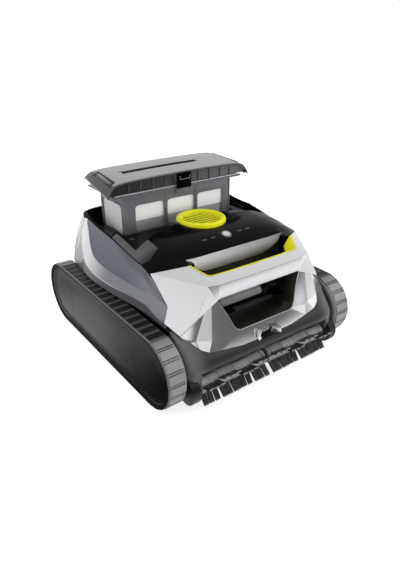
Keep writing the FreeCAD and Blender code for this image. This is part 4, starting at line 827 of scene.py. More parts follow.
def keep_lines(piece, across):
    """Keep the flank's waist and stripe crisp through the subdivision."""
    weights = piece.data.attributes.new("crease_edge", "FLOAT", "EDGE")
    for edge in piece.data.edges:
        first, second = (index % across for index in edge.vertices)
        if first == second and first in (4, 7, 8):
            weights.data[edge.index].value = 0.75


def flank(name):
    rows = [flank_row(y) for y in FLANK_Y]
    # the first rows slide forward or back so that the panel ends on the silver wing's edge
    for index, weight in enumerate([1.0, 0.72, 0.45, 0.2]):
        rows[index] = [(x + weight * (between(WING_X, z) - x),
                        y + weight * (between(WING_Y, z) - FLANK_Y[0]), z)
                       for x, y, z in rows[index]]
    piece = loft(name, rows)
    across = len(rows[0]) - 1
    for paint in (FLANK, SHADED_BAND, HIGHLIGHT_STREAK, SHADED_SKIRT):
        piece.data.materials.append(paint)
    for face in piece.data.polygons:
        face.material_index = STRIPS[face.index % across]
    outward(piece)
    keep_lines(piece, len(rows[0]))
    subdivide(piece)
    return piece


right_flank = flank("right_flank_panel")
thicken(right_flank, 2.4, -1)
smooth(right_flank, 50)
left_flank = twin(right_flank, "left_flank_panel")
finish(right_flank, FLANK, "chassis", ["right_side_frame", "right_side_panel"])
finish(left_flank, FLANK, "chassis", ["left_side_frame", "left_side_panel"])


def rear_shell():
    """The silver rear: it carries the flank's lines round the corner and across the back."""
    rows = [flank_row(y) for y in (114, 120, 126, 132, 138)]
    top_line = [(168.5, 145), (160, 151), (140, 153), (90, 154), (45, 154), (0, 154)]
    foot_line = [(186.5, 171), (184, 190), (167, 204), (102, 207), (50, 207), (0, 207)]
    for (tx, ty), (fx, fy) in zip(top_line, foot_line):
        row = []
        for s in (0.0, 0.1, 0.22, 0.34, 0.46, 0.58, 0.7, 0.82, 0.9, 1.0):
            bulge = 5.0 * math.sin(math.pi * s)
            step = s ** 0.85
            row.append((tx + (fx - tx) * step + (bulge * 0.35 if tx > 1 else 0),
                        ty + (fy - ty) * step + bulge, REAR_TOP_Z + (SKIRT_Z - REAR_TOP_Z) * s))
        rows.append(row)
    piece = loft("silver_rear", rows)
    outward(piece)
    keep_lines(piece, len(rows[0]))
    mirror_about_middle(piece)
    subdivide(piece)
    thicken(piece, 2.6, -1)
    smooth(piece, 50)
    return piece


rear = rear_shell()
finish(rear, SILVER, "chassis", ["rear_shell"])


# ------------------------------------------------------------------ glossy deck

def upright_rod(name, y, radius, low, high, vertices):
    """A round bar standing on the machine's middle plane."""
    nothing_selected()
    bpy.ops.mesh.primitive_cylinder_add(vertices=vertices, radius=radius * MM, depth=(high - low) * MM)
    piece = bpy.context.object
    piece.name = name
    piece.location = spot(0, y, (low + high) / 2)
    bake_place(piece)
    return piece


def standing(name, outline, low, high):
    """An upright solid on an outline of plan places."""
    return prism(name, *([spot(x, y, z) for x, y in outline] for z in (low, high)))


VENT_Y, BUTTON_Y = -35, -114
STEP_FLOOR = 231.5
CROWN = [(-175, 233), (-160, 234.2), (-146, 235.2), (-135, 239.4), (-125, 244.0), (-114, 247.8),
         (-98, 251.0), (-75, 253.6), (-35, 256.5), (10, 257.5), (150, 257.5)]
DECK_HALF = 173                 # half the deck's width at the shoulders
POCKET_SIDE = 113.4             # half the width of the pocket behind the handle
STEP_LINE = [(-160.5, -58), (-133, -53), (-46, -22), (46, -22), (133, -53), (160.5, -58), (153.4, 147.2),
             (-153.4, 147.2)]
SEAT_LINE = [(-169.9, 19.3), (169.9, 19.3), (169.4, 60), (168, 90), (165.4, 118), (163.2, 134),
             (160.8, 145.6), (-160.8, 145.6), (-163.2, 134), (-165.4, 118), (-168, 90), (-169.4, 60)]
"""The lid's seat in plan: it narrows to the rear as the lid does."""
DECK_REAR = [(0, 153), (140, 152), (160, 149), (168, 143), (DECK_HALF, 130)]
"""The deck's rear edge in plan."""


def deck_height(x, y):
    share = min(abs(x) / DECK_HALF, 1.0)
    crown = between(CROWN, y)
    roundness = between([(-146, 6.0), (-110, 4.6), (-50, 5.2), (10, 8.0)], y)
    return crown - (crown - between(DECK_Z, y)) * share ** roundness


def deck_front(x):
    """The deck's front edge in plan: level ahead, then swept back to the shoulders."""
    x = abs(x)
    if x <= POCKET_SIDE:
        return -146.0
    return between([(POCKET_SIDE, -162.4), (120.5, -163.5), (DECK_HALF, -125.3)], x)


def deck():
    stations = [0, 20, 40, 60, 80, 100, 108, POCKET_SIDE, POCKET_SIDE + 0.5, 120.5, 130, 141, 149, 155, 160,
                164, 167, 169.5, 171.5, 172.6]
    rows = []
    for step in range(25):
        share = step / 24
        line = []
        for x in stations:
            start = deck_front(x)
            rear_edge = between(DECK_REAR, x)
            y = start + (rear_edge - start) * share
            line.append((x, y, deck_height(x, y)))
        rows.append(line)
    piece = loft("deck", rows)
    both_halves(piece)
    thicken(piece, 31, -1)
    outward(piece)
    return piece


top = deck()
ABOVE = 300                     # where the cutting tools end, clear of the deck
# the sunk step in front of the canister and beside it, its ledge, and the open well
step_cut = standing("step_cut", STEP_LINE, STEP_FLOOR, ABOVE)
lid_seat = standing("lid_seat_cut", SEAT_LINE, 236.2, ABOVE)
well_cut = block("well_cut", (-136, 28, 150), (136, 143, ABOVE))
soften(well_cut, 6, 3, 60)
carve(top, step_cut, lid_seat, well_cut, upright_rod("button_hole", BUTTON_Y, 9.0, 238, 262, 48))
combine(top, "UNION", [upright_rod("vent_boss", VENT_Y, 48.0, 228, 255.0, 96)])
carve(top, upright_rod("vent_hole", VENT_Y, 50.4, 200, ABOVE, 96),
      upright_rod("button_hole", BUTTON_Y, 11.2, 200, ABOVE, 48))
bevel(top, 1.2, 3, 40)
smooth(top, 35)
finish(top, GLOSS, "chassis", ["top_deck"])


# ------------------------------------------------------------------ fascia, grip and lower recess

# The bare metal plate: it hangs under the deck's front edge, and its lower corners are swept up to a point.
PLATE_TOP, PLATE_HEIGHT = 235.0, 34.4
PLATE = [(0, 200.6), (30, 200.6), (58, 200.8), (70, 202.4), (80, 206.2), (90, 212.6), (100, 220.6),
         (108, 228.0), (112.6, 233.0)]
"""The plate's lower line: x and z."""


def plate_place(x, z):
    """A place on the plate, which bellies ahead between its upper and lower lines."""
    drop = (PLATE_TOP - z) / PLATE_HEIGHT
    return x, -145.6 + 4.6 * drop - 4.5 * math.sin(math.pi * drop), z


fascia = loft("fascia_face", [[plate_place(x, PLATE_TOP + (low - PLATE_TOP) * share) for x, low in PLATE]
                              for share in (0.0, 0.1, 0.35, 0.65, 0.9, 1.0)])
both_halves(fascia)
thicken(fascia, 2.2, -1)
soften(fascia, 0.7, 3, 40)
finish(fascia, FASCIA_SHADED, "chassis", ["fascia_plate"])

# The dark pocket behind the handle, in an olive grey that is painted shade with a painted lime bounce.
POCKET = [(0, -135), (60, -135), (106, -135), (111, -137), (113, -142), (113, -152), (113, -160)]
pocket_rows = [[(x, y, z) for x, y in POCKET] for z in (184, 200, 220, 234.5)]
pocket_rows.insert(0, [(x * 0.92, min(y, -150) - 38, 184) for x, y, z in pocket_rows[0]])
pocket = loft("handle_pocket", pocket_rows)
both_halves(pocket)
thicken(pocket, 1.4)
outward(pocket)
smooth(pocket, 35)
finish(pocket, POCKET_SHADE, "chassis")

# The black pillar at each end of the pocket, with a thin grey rod along its edge as a painted highlight.
for side in (-1, 1):
    pillar = block("pocket_pillar", (side * 105.5, -160.5, 196), (side * 113.2, -147.4, 232.6), 1.5, 3)
    finish(pillar, GLOSS, "chassis")
    edge_line = rod("pocket_edge", (side * 106.2, -160.6, 203), (side * 108.4, -149.0, 232.8), 0.6, 12)
    finish(edge_line, GLINT_GREY, "chassis")

# The lime lining of the opening: a thin rim ahead, a broad wedge up each side.
RIM_OUT = [(0, -198.4, 220.9), (60, -198.4, 220.9), (97, -195.9, 220.9), (104, -192.4, 221.6),
           (108, -185.6, 224.4), (120, -164.2, 234.2)]
RIM_IN = [(0, -196.4, 220.2), (60, -196.4, 220.2), (94.5, -194.2, 220.0), (100.5, -190.5, 220.3),
          (104, -184.2, 222.4), (115.5, -164.0, 231.5)]
RIM_LOW = [(0, -195.0, 200), (60, -195.0, 200), (92, -191.5, 200), (95, -186.5, 200), (96, -180, 203),
           (103, -163.5, 214)]
rim = loft("lime_rim", [RIM_OUT, RIM_IN, RIM_LOW])
both_halves(rim)
thicken(rim, 1.4)
outward(rim)
smooth(rim, 40)
finish(rim, LIME, "chassis", ["grip_liner"])

# Dark tray of the lower recess and of the opening above it.
TRAY_OUT = [(0, -212.6, 122.4), (58, -212.6, 122.4), (66, -211.5, 126), (76, -209, 142), (90, -205, 172),
            (93, -203, 186)]
tray_rows = [[(0, -232.6, 121.2), (60, -232.4, 121.2), (70, -230.6, 125.5), (83, -220.4, 155),
              (93, -213.8, 176), (96, -212.6, 183.5)]]
for ahead, back_y, shrink, rise in ((6, 16, 3, 1.5), (0, 40, 7, 4)):
    tray_rows.append([(x - shrink * (x > 50), y + back_y - ahead * (z < 130), z + rise * (z < 130))
                      for x, y, z in TRAY_OUT])
walls = loft("recess_walls", tray_rows)
both_halves(walls)
back = loft("recess_back", [[(x, y, z) for x in (0, 51, 59, 69, 83, 92)]
                            for z, y in ((126.4, -172.6), (150, -168), (176, -164), (186, -160))])
both_halves(back)
tray = joined("recess_lining", [walls, back])
thicken(tray, 1.8)
outward(tray)
smooth(tray, 35)
finish(tray, TRAY, "chassis", ["recess_tray"])
# The grip bar: light grey from x -80 to 22 as a painted reflection, gloss black for the rest.
GRIP_BAR = [(0.001, -80), (8.0, -80), (9.0, -78.5), (9.0, 22), (0.001, 22)]
GRIP_BAR_END = [(0.001, 22), (9.0, 22), (9.0, 78.5), (8.0, 80), (0.001, 80)]
finish(turned("grip_bar", GRIP_BAR, (0, -190.5, 160), "x", 48), GRIP_REFLECTION, "chassis")
finish(turned("grip_bar_end", GRIP_BAR_END, (0, -190.5, 160), "x", 48), GLOSS, "chassis")
for side in (-1, 1):
    ledge = block("recess_step", (side * 48, -205, 140), (side * 74, -172, 143), 1.2, 2)
    finish(ledge, GLOSS, "chassis")
# thin grey rods along the folds of the recess lining: painted highlights
fold_highlights = [rod("recess_fold_highlight", (-57, -173.4, 128.2), (57, -173.4, 128.2), 0.9)]
for x, y, z in ((-83, -166, 175), (83, -166, 175), (66, -211, 126.5), (-66, -211, 126.5)):
    fold_highlights.append(rod("recess_fold_highlight", (x, y, z), (math.copysign(58, x), -173.4, 128.2), 0.8))
finish(joined("recess_fold_highlights", fold_highlights), GLINT_GREY, "chassis")
bracket = block("grip_bracket", (16, -200.4, 149), (32, -180, 171), 2, 3)
finish(bracket, GLOSS, "chassis")
shelf = block("recess_shelf", (-72, -196, 146.5), (72, -166, 148.5), 0.8, 2)
finish(shelf, GLOSS, "chassis")


# ------------------------------------------------------------------ bumper, brush and hook

BUMPER_TOP = [(-186, 120, 137), (-197, 117, 133), (-209, 112, 126), (-222, 105, 116), (-231, 100, 107),
              (-238, 96, 99.5), (-243.5, 90, 92)]
"""The bumper's upper line: y, then z near the middle and z at the ends, where it rises to the shoulders."""
SLOT_HALF, SWEEP = 153.2, 38.3  # half the width of the brush's slot, and the room round its fingers
BUMPER_LOW = [(-246.2, 82), (-246.6, 70), (-246, 58), (-243, 48.5), (-236, 42.5), (-224, 40), (-204, 40),
              (-187, 43)]


def bumper():
    """The satin bar over the brush, with an upright end each side of it, and the brush's slot cut."""
    rows = []
    for x, rise, squeeze in ((0, 0, 0), (60, 0, 0), (100, 0.0, 0), (118, 0.12, 0), (132, 0.4, 0),
                             (144, 0.75, 0.2), (154, 1.0, 0.8), (162, 1.0, 2.2), (168, 1.0, 4.6),
                             (172.5, 1.0, 8), (175.4, 1.0, 12.5), (176.6, 1.0, 17)):
        line = [(y, mid + (end - mid) * rise) for y, mid, end in BUMPER_TOP] + BUMPER_LOW
        row = []
        for y, z in line:
            share = min(max((-y - 192) / 48, 0), 1)
            row.append((x, y + squeeze * share, z - squeeze * 0.35 * (z > 85 and y < -215)))
        rows.append(row + [row[0]])
    piece = loft("bumper", rows)
    both_halves(piece)
    close_ends(piece, bpy.ops.mesh.edge_face_add)
    slot = block("brush_slot", (-SLOT_HALF, -300, -20), (SLOT_HALF, -150, 72.5))
    bevel(slot, 9, 6)
    sweep = turned("brush_sweep", [(0.001, -SLOT_HALF), (SWEEP, -SLOT_HALF), (SWEEP, SLOT_HALF),
                                   (0.001, SLOT_HALF)],
                   (0, BRUSH_Y, BRUSH_Z), "x", 64)
    carve(piece, slot, sweep)
    bevel(piece, 1.6, 3, 50)
    smooth(piece, 40)
    return piece


beam = bumper()
finish(beam, BUMPER_LIT_ENDS, "chassis", ["front_bumper"])


BRUSH_ROWS, BRUSH_TURN = 5, 84.0
FINGER_WIDTH = 10.2
FINGER_TILT = (-0.8, 0.9, -0.3)     # how far each finger of a paddle bends from it, in degrees
HIGHLIGHT_REACH = 35.5                    # beyond this radius the rubber is painted pale, a painted highlight


def brush_core(name):
    """One half of the roller: a long barrel with seams and end collars."""
    profile = [(6.2, 4.5), (15, 4.5), (15.6, 5.4), (15.6, 11), (14.2, 11.6), (14.2, 12.6), (15.0, 13.2)]
    for seam in (40, 76, 112):
        profile += [(15.0, seam - 1.6), (16.0, seam - 1.0), (16.0, seam + 1.0), (15.0, seam + 1.6)]
    profile += [(15.0, 141), (16.6, 142), (16.6, 150), (15.0, 151.6), (7.0, 151.8), (7.0, 171), (6.2, 171.2)]
    return turned(name, profile, (0, BRUSH_Y, BRUSH_Z), "x", 48)


def brush_blades(name):
    """Rows of rubber paddles on the roller, four to a row in a stagger, each slit into three fingers."""
    fingers = []
    outline = [(12.5, -1.7), (28, -1.5), (35.6, -1.4), (37.2, -0.9), (37.5, 0.0), (37.2, 0.9), (35.6, 1.4),
               (28, 1.5), (12.5, 1.7)]
    for band in range(4):
        for row in range(BRUSH_ROWS):
            turn = math.radians(360 / BRUSH_ROWS * row + BRUSH_TURN + (6 if band % 2 else -6))
            for finger in range(3):
                start = 5.0 + band * 37.2 + finger * 12.3
                tilt = turn + math.radians(FINGER_TILT[finger])
                rows = []
                for dx, trim in ((0.0, 0.5), (0.5, 0.0), (FINGER_WIDTH - 0.5, 0.0), (FINGER_WIDTH, 0.5)):
                    rows.append([(start + dx, BRUSH_Y + (r - trim) * math.cos(tilt) - t * math.sin(tilt),
                                  BRUSH_Z + (r - trim) * math.sin(tilt) + t * math.cos(tilt))
                                 for r, t in outline])
                fingers.append(loft(name, [line + line[:1] for line in rows]))
    whole = joined(name, fingers)
    start_edit(whole)
    bpy.ops.mesh.remove_doubles(threshold=0.00001)
    end_edit()
    close_ends(whole, bpy.ops.mesh.fill)
    whole.data.materials.append(BLADE)
    whole.data.materials.append(BLADE_HIGHLIGHT)
    axis = spot(0, BRUSH_Y, BRUSH_Z)
    # the fingers' tips and their end faces take the painted highlight
    for face in whole.data.polygons:
        reach = math.hypot(face.center.y - axis.y, face.center.z - axis.z) / MM
        if reach > HIGHLIGHT_REACH or abs(face.normal.x) > 0.6:
            face.material_index = 1
    smooth(whole, 30)
    return whole


right_core = brush_core("right_roller")
left_core = twin(right_core, "left_roller")
finish(right_core, ROLLER, "right_brush", ["right_brush_core"])
finish(left_core, ROLLER, "left_brush", ["left_brush_core"])
right_blades = brush_blades("right_brush_fingers")
left_blades = twin(right_blades, "left_brush_fingers")
finish(right_blades, BLADE, "right_brush", ["right_brush_blades"])
finish(left_blades, BLADE, "left_brush", ["left_brush_blades"])

HOOK = {"tongue_left": (3, -244.5, 100.5), "tongue_low": (27.5, -246.5, 90.5),
        "fold_right": (28.5, -243.5, 96.5), "fold_left": (7, -242.5, 105.5), "root_left": (4, -242.2, 111),
        "root_top": (6.5, -241.6, 115.5), "root_right": (20.5, -241.6, 112.5)}


def hook_sheet(name, words, depth):
    piece = facets(name, {word: HOOK[word] for word in words}, [words])
    thicken(piece, depth)
    outward(piece)
    soften(piece, 0.4, 2)
    return piece


def hook_claw():
    """The bent left end of the hook: an upright strap with a foot turned back."""
    line = [(-27.5, 111.5), (-23, 113), (-20.5, 108), (-22.5, 100), (-18.5, 93.5), (-24.5, 90), (-29.5, 97)]
    piece = prism("hook_claw", *([spot(x, y, z) for x, z in line] for y in (-244.6, -240.5)))
    soften(piece, 0.9, 3)
    return piece


hook_back = block("hook_pocket", (-23, -243.6, 86.5), (28, -238, 101.5), 1.4, 3)
finish(hook_back, GLOSS, "chassis")
tongue_sheet = hook_sheet("hook_tongue", ["tongue_left", "tongue_low", "fold_right", "fold_left"], 1.6)
tongue = joined("tow_hook_steel", [tongue_sheet, hook_claw()])
smooth(tongue, 35)
finish(tongue, BRIGHT, "chassis", ["tow_hook"])
root = hook_sheet("hook_root", ["fold_left", "fold_right", "root_right", "root_top", "root_left"], 1.4)
finish(root, CASTING, "chassis")


# ------------------------------------------------------------------ vent, button and lights

def vent():
    """The lime outlet: a thick rolled ring, slats across it, and a dark lime floor below them as painted
    shade.
    """
    ring = turned("vent_ring", [(36.0, 248.2), (48.2, 248.2), (48.9, 251.2), (49.2, 254.6), (48.7, 257.4),
                                (47.3, 259.6), (45.2, 260.8), (42.6, 261.0), (40.3, 260.2), (38.4, 258.4),
                                (37.2, 256.0), (36.5, 253.0)], (0, VENT_Y, 0), "z", 96)
    slats = []
    for index in range(7):
        offset = (index - 3) * 10.3
        reach = math.sqrt(37.0 ** 2 - (abs(offset) + 2) ** 2)
        y = VENT_Y + offset
        slats.append(block("vent_slat", (-reach, y - 2.7, 253.0), (reach, y + 2.7, 254.4), 0.55, 3))
    floor = upright_rod("vent_floor", VENT_Y, 37.4, 246.4, 247.6, 64)
    whole = joined("outlet_vent", [ring] + slats)
    smooth(whole, 40)
    finish(floor, LIME_DARK, "chassis")
    return whole


grille = vent()
finish(grille, LIME, "chassis", ["outlet_grille"])

BUTTON_LEAN = math.radians(15)
LIGHT_X = (-51, -31, 31, 51)    # the light bars beside the button
LIGHT_PLAN = ((-5, -116.0), (5, -116.0), (5, -112.6), (-5, -112.6))


def lean(piece):
    """Tip a piece about the button's middle so that it lies along the deck."""
    place = Matrix.Translation(spot(0, BUTTON_Y, 247.8))
    piece.matrix_world = place @ Matrix.Rotation(BUTTON_LEAN, 4, "X") @ place.inverted()
    bake_place(piece)
    return piece


bezel = lean(turned("button_ring", [(8.5, 240.0), (10.9, 240.0), (10.9, 248.4), (10.4, 249.0), (9.4, 249.1),
                                    (8.7, 248.6)], (0, BUTTON_Y, 0), "z", 64))
finish(bezel, NYLON, "chassis", ["button_bezel"])
cap = lean(turned("button_cap", [(0.001, 243.0), (7.7, 243.0), (7.7, 248.5), (7.3, 249.1), (5.6, 249.0),
                                 (5.2, 248.7), (0.001, 248.8)], (0, BUTTON_Y, 0), "z", 64))
finish(cap, KEY, "button", ["power_button"])

bars = []
for x in LIGHT_X:
    light = prism("light_bar", *([spot(x + dx, y, deck_height(x + dx, y) + rise) for dx, y in LIGHT_PLAN]
                                 for rise in (-1.5, 0.35)))
    soften(light, 0.3, 2, 30)
    bars.append(light)
lights = joined("status_light_bars", bars)
smooth(lights, 30)
finish(lights, LIGHT_BAR, "chassis", ["status_lights"])


def deck_corner(name):
    """The L-shaped plate that follows the deck at a front corner of the sunk step."""
    outer = [(171.4, 12), (171.6, -14), (171.7, -40), (171.7, -68), (171.6, -95), (159, -102), (147, -96),
             (134, -90)]
    inner = [(161.5, 9), (161.6, -14), (161.6, -32), (161.6, -47), (161.4, -59), (158, -58.6), (147, -56.6),
             (133.5, -54.2)]
    rows = []
    for step in range(7):
        share = step / 6
        plan = [(x1 + (x2 - x1) * share, y1 + (y2 - y1) * share) for (x1, y1), (x2, y2) in zip(outer, inner)]
        rows.append([(x, y, deck_height(x, y) + 0.7) for x, y in plan])
    piece = loft(name, rows)
    outward(piece)
    apply_modifier(piece, "SUBSURF", levels=1, render_levels=1, subdivision_type="SIMPLE")
    thicken(piece, 2.5, -1)
    outward(piece)
    smooth(piece, 30)
    return piece


right_corner = deck_corner("right_deck_corner")
left_corner = twin(right_corner, "left_deck_corner")
for corner in (right_corner, left_corner):
    finish(corner, CORNER, "chassis")
for side in (-1, 1):
    eyelet = turned("screw_eyelet", [(2.2, STEP_FLOOR - 1), (4.6, STEP_FLOOR - 1), (4.6, STEP_FLOOR + 1.0),
                                     (4.0, STEP_FLOOR + 1.4), (2.8, STEP_FLOOR + 1.4),
                                     (2.2, STEP_FLOOR + 0.8)],
                    (side * 135.5, 1.5, 0), "z", 32)
    finish(eyelet, MATT, "chassis")


# ------------------------------------------------------------------ lift-out canister

CAN_X, CAN_FRONT, CAN_REAR, CAN_LOW, CAN_TOP = 131, 33, 138, 101, 308
NET_LOW, NET_HIGH = 104.5, 303
GREY_BELOW = 252                # the net's front is greyer under this height


def rounded_frame(name, low, high, corner, windows, depth):
    """A four-sided wall with soft uprights, cut by rounded windows, each (one corner, the other, radius)."""
    walls = block(name, low, high)
    bevel(walls, corner, 5)
    inner = block(name + "_hollow", (low[0] + depth, low[1] + depth, low[2] + depth),
                  (high[0] - depth, high[1] - depth, high[2] + 40))
    bevel(inner, corner - 1, 4)
    carve(walls, inner)
    for start, end, radius in windows:
        hole = block(name + "_window", start, end)
        bevel(hole, radius, 5)
        carve(walls, hole)
    return walls


windows = []
for left, right in ((-107, -41), (-33, 33), (41, 107)):
    windows.append(((left, CAN_FRONT - 8, 232.5), (right, CAN_FRONT + 12, 284), 7))
    windows.append(((left, CAN_REAR - 12, 150), (right, CAN_REAR + 8, 284), 7))
for side in (-1, 1):
    windows.append(((side * (CAN_X + 9), CAN_FRONT + 13, 150), (side * (CAN_X - 12), CAN_REAR - 12, 285), 8))
basket_corners = (-CAN_X, CAN_FRONT, CAN_LOW), (CAN_X, CAN_REAR, CAN_TOP)
basket = rounded_frame("basket_frame", *basket_corners, 7, windows, 3)
bevel(basket, 1.0, 2, 50)
ribs = []
for x in (-37, 37):
    ribs.append(block("basket_rib", (x - 1.0, CAN_FRONT - 1.4, 180), (x + 1.0, CAN_FRONT + 1, 300), 0.4, 2))
for x in (-CAN_X + 5.5, CAN_X - 5.5):
    ribs.append(block("basket_corner_rib", (x - 1.2, CAN_FRONT - 1.6, 150), (x + 1.2, CAN_FRONT + 1, 302),
                      0.5, 2))
flange = block("basket_flange", (-152, CAN_FRONT - 8, 305.6), (152, CAN_REAR + 8, CAN_TOP))
soften(flange, 1.2, 3, 30)
mouth_cut = block("flange_hole", (4 - CAN_X, CAN_FRONT + 4, 290), (CAN_X - 4, CAN_REAR - 4, 320))
carve(flange, mouth_cut)
basket = joined("basket_frame", [basket, flange] + ribs)
smooth(basket, 35)
finish(basket, BASKET, "canister", ["canister_frame"])


def net_block(name, inset, low, high):
    return block(name, (inset - CAN_X, CAN_FRONT + inset, low), (CAN_X - inset, CAN_REAR - inset, high))


net = net_block("filter_net", 3.4, NET_LOW, NET_HIGH)
carve(net, net_block("net_hollow", 4.6, 90, 330))
start_edit(net)
bpy.ops.mesh.bisect(plane_co=spot(0, 0, GREY_BELOW), plane_no=(0, 0, 1))
end_edit()
net.data.materials.append(WEAVE)
net.data.materials.append(WEAVE_LOW)
for face in net.data.polygons:
    face.material_index = 1 if face.center.z < GREY_BELOW * MM and face.normal.y < -0.5 else 0
finish(net, WEAVE, "canister", ["filter_mesh"])


# ------------------------------------------------------------------ lid and latch

LID_SECTION = [(0, 0.0), (0.35, -0.5), (0.62, -1.5), (0.78, -2.9), (0.868, -5.2), (0.905, -7.2),
               (0.933, -10.8), (0.97, -18.4), (1.0, -26.2), (0.992, -28.4)]
"""Half of the lid's front edge: share of the half width, and height under the crown."""


def lid_shell():
    rows = []
    for y, half, crown, sink in ((21.8, 168.6, 337.3, 1.0), (26, 168.5, 338.2, 0.99), (40, 168, 339.8, 0.95),
                                 (66, 166.6, 341.6, 0.86), (94, 164.6, 342.8, 0.75), (118, 162, 342.6, 0.64),
                                 (132, 160.4, 341.4, 0.57), (139.6, 159, 338.2, 0.52),
                                 (142.8, 158, 332, 0.45)):
        rows.append([(half * share, y, crown + drop * sink) for share, drop in LID_SECTION])
    piece = loft("lid_shell", rows)
    both_halves(piece)
    thicken(piece, 2.2, -1)
    carve(piece, block("lid_slot", (-110, 66, 325), (66, 80, 360)))
    bevel(piece, 0.6, 2, 50)
    smooth(piece, 20)
    return piece


def lid_front_wall():
    """The dark inner wall just behind the lid's front edge; its paint runs from dark at the left to lighter
    at the right as painted shade.
    """
    half, crown = 166.0, 334.6
    rows = []
    for y in (29.0, 30.6):
        rows.append([(half * share, y, crown + drop) for share, drop in LID_SECTION[:9]])
    low = [[(x, y, 312.0) for x, y, _ in row] for row in rows]
    piece = loft("lid_front_wall", [rows[0], rows[1], low[1], low[0], rows[0]])
    both_halves(piece)
    outward(piece)
    carve(piece, block("latch_gap", (-18.5, 25, 300), (18.5, 35, 345)))
    smooth(piece, 30)
    return piece


finish(lid_front_wall(), LID_WALL_SHADED, "lid")
lid = lid_shell()
lid.data.materials.append(LID)
lid.data.materials.append(LID_TOP_HIGHLIGHT)
# the upward faces behind the front edge take the paler grey as a painted highlight
for face in lid.data.polygons:
    if face.normal.z > 0.9 and face.center.y > frame_y(24):
        face.material_index = 1
finish(lid, LID, "lid", ["canister_lid"])

# the comb along the handle slot, with the slot's floor and rear wall
teeth = [block("slot_tooth", (-107 + index * 9.5, 66.4, 334), (index * 9.5 - 101.4, 70.4, 341.2), 0.4, 1)
         for index in range(18)]
slot_floor = block("slot_floor", (-113, 63, 330), (69, 83, 332), 0.5, 2)
slot_wall = block("slot_wall", (-113, 80.4, 330), (69, 82.4, 341.0), 0.3, 1)
finish(joined("slot_comb", teeth + [slot_floor, slot_wall]), GLOSS, "lid")

for side in (-1, 1):
    corners = {"front_in": (side * 145, 34, 336.0), "front_out": (side * 158, 34, 328.6),
               "rear_out": (side * 153.5, 112, 335.1), "rear_in": (side * 141, 112, 340.4)}
    panel = facets("lid_end_panel", corners, [list(corners)])
    thicken(panel, 0.8)
    outward(panel)
    finish(panel, LID_DARK, "lid")

RIB_TOP = [(0, 333), (100, 331), (125, 328)]
ribs = [block("lid_rib", (x - 0.6, 26.4, 312), (x + 0.6, 29.5, between(RIB_TOP, abs(x))), 0.2, 1)
        for x in (-121, -96, -68, -40, 40, 68, 96, 121)]
finish(joined("lid_ribs", ribs), CLEAR_RIB, "lid")
lips = [block("lid_bar", (-152, 26.6, 309.2), (152, 29.2, 311.2), 0.6, 2)]
for side in (-1, 1):
    lips.append(rod("lid_side_lip", (side * 167.6, 23, 310.4), (side * 159.2, 134, 325.2), 1.3))
    lips.append(rod("lid_side_lip", (side * 162.5, 24, 309.6), (side * 154.5, 134, 323.4), 0.8))
finish(joined("lid_lips", lips), CLEAR_LIP, "lid")


latch = block("latch_clip", (-16.5, 18.6, 319.5), (16.5, 24.6, 336.5), 1.6, 3)
carve(latch, block("clip_hollow", (-10.5, 17, 324.5), (10.5, 21.6, 332.5)))
latch_leg = block("latch_leg", (-17, 19.4, 305.0), (17, 25.4, 318.6), 1.4, 3)
clip = joined("latch_clip", [latch, latch_leg, block("latch_web", (-12, 21.8, 314), (12, 25, 325), 0.6, 2)])
smooth(clip, 35)
finish(clip, GLOSS, "latch", ["lid_latch"])
edge = joined("latch_trim", [block("trim_low", (-11.4, 18.0, 323.0), (11.4, 19.4, 324.2), 0.4, 2),
                             block("trim_left", (-12.2, 18.0, 323.0), (-11.0, 19.4, 330), 0.4, 2),
                             block("trim_right", (11.0, 18.0, 323.0), (12.2, 19.4, 330), 0.4, 2)])
finish(edge, STEEL, "latch")
keeper = block("keeper", (-13.8, 29.4, 292.2), (13.8, 33.2, 304.8), 1.2, 3)
finish(keeper, BASKET, "canister", ["latch_keeper"])


# ------------------------------------------------------------------ CAD pieces that stay, and the socket

dress(SATIN, "lower_hull", "bottom_cover", "canister_well", "pump_duct", "brush_centre_bearing")
dress(GEAR_CASE, "left_gear_case", "right_gear_case")
dress(NYLON, "propeller", "front_left_wheel", "front_right_wheel", "rear_left_wheel", "rear_right_wheel",
      "left_drive_pinion", "right_drive_pinion", "left_brush_gear", "right_brush_gear")
dress(STEEL, "front_left_axle", "front_right_axle", "rear_left_axle", "rear_right_axle", "lid_hinge_pin",
      "housing_screws", "button_spring")
dress(CASTING, "left_drive_motor", "right_drive_motor", "pump_motor")
dress(WRAP, "battery_pack")
dress(BOARD, "control_board")
dress(BASKET, "inlet_flap")

# the charging socket: a ring and a sunk floor with two pins, low on the rear
SOCKET_X, SOCKET_Z = 60, 157
carve(bpy.data.objects["silver_rear"],
      rod("socket_hole", (SOCKET_X, 180, SOCKET_Z), (SOCKET_X, 215, SOCKET_Z), 16.2, 48))
socket = turned("charge_socket_ring", [(12.0, 191.0), (12.0, 203.2), (12.6, 204.6), (14.0, 205.2),
                                       (16.0, 204.8), (17.0, 203.4), (17.0, 184.0), (0.001, 184.0),
                                       (0.001, 191.0)],
                (SOCKET_X, 0, SOCKET_Z), "y", 48)
pins = [turned("charge_pin", [(0.001, 190.0), (1.6, 190.0), (1.6, 197.4), (1.0, 198.2), (0.001, 198.4)],
               (SOCKET_X + dx, 0, SOCKET_Z), "y", 20) for dx in (-5, 5)]
charge = joined("charge_socket_outlet", [socket] + pins)
smooth(charge, 30)
finish(charge, NYLON, "chassis", ["charge_socket"])


# ------------------------------------------------------------------ light, floor and camera

FLOOR_GLOW = 0.76               # what the floor adds where it is seen, on top of the lamps' light
FLOOR_BOUNCE = 0.4              # how much light it throws back up
FLOOR_GLOSS = 0.95              # how bright the machine mirrors it
ROOM_LIGHT = 0.5
HORIZON_GLOSS, OVERHEAD_GLOSS = 0.88, 0.6
EYE, AIM = spot(-553.1, -782.8, 578.1), spot(-10.7, -46.25, 117.4)


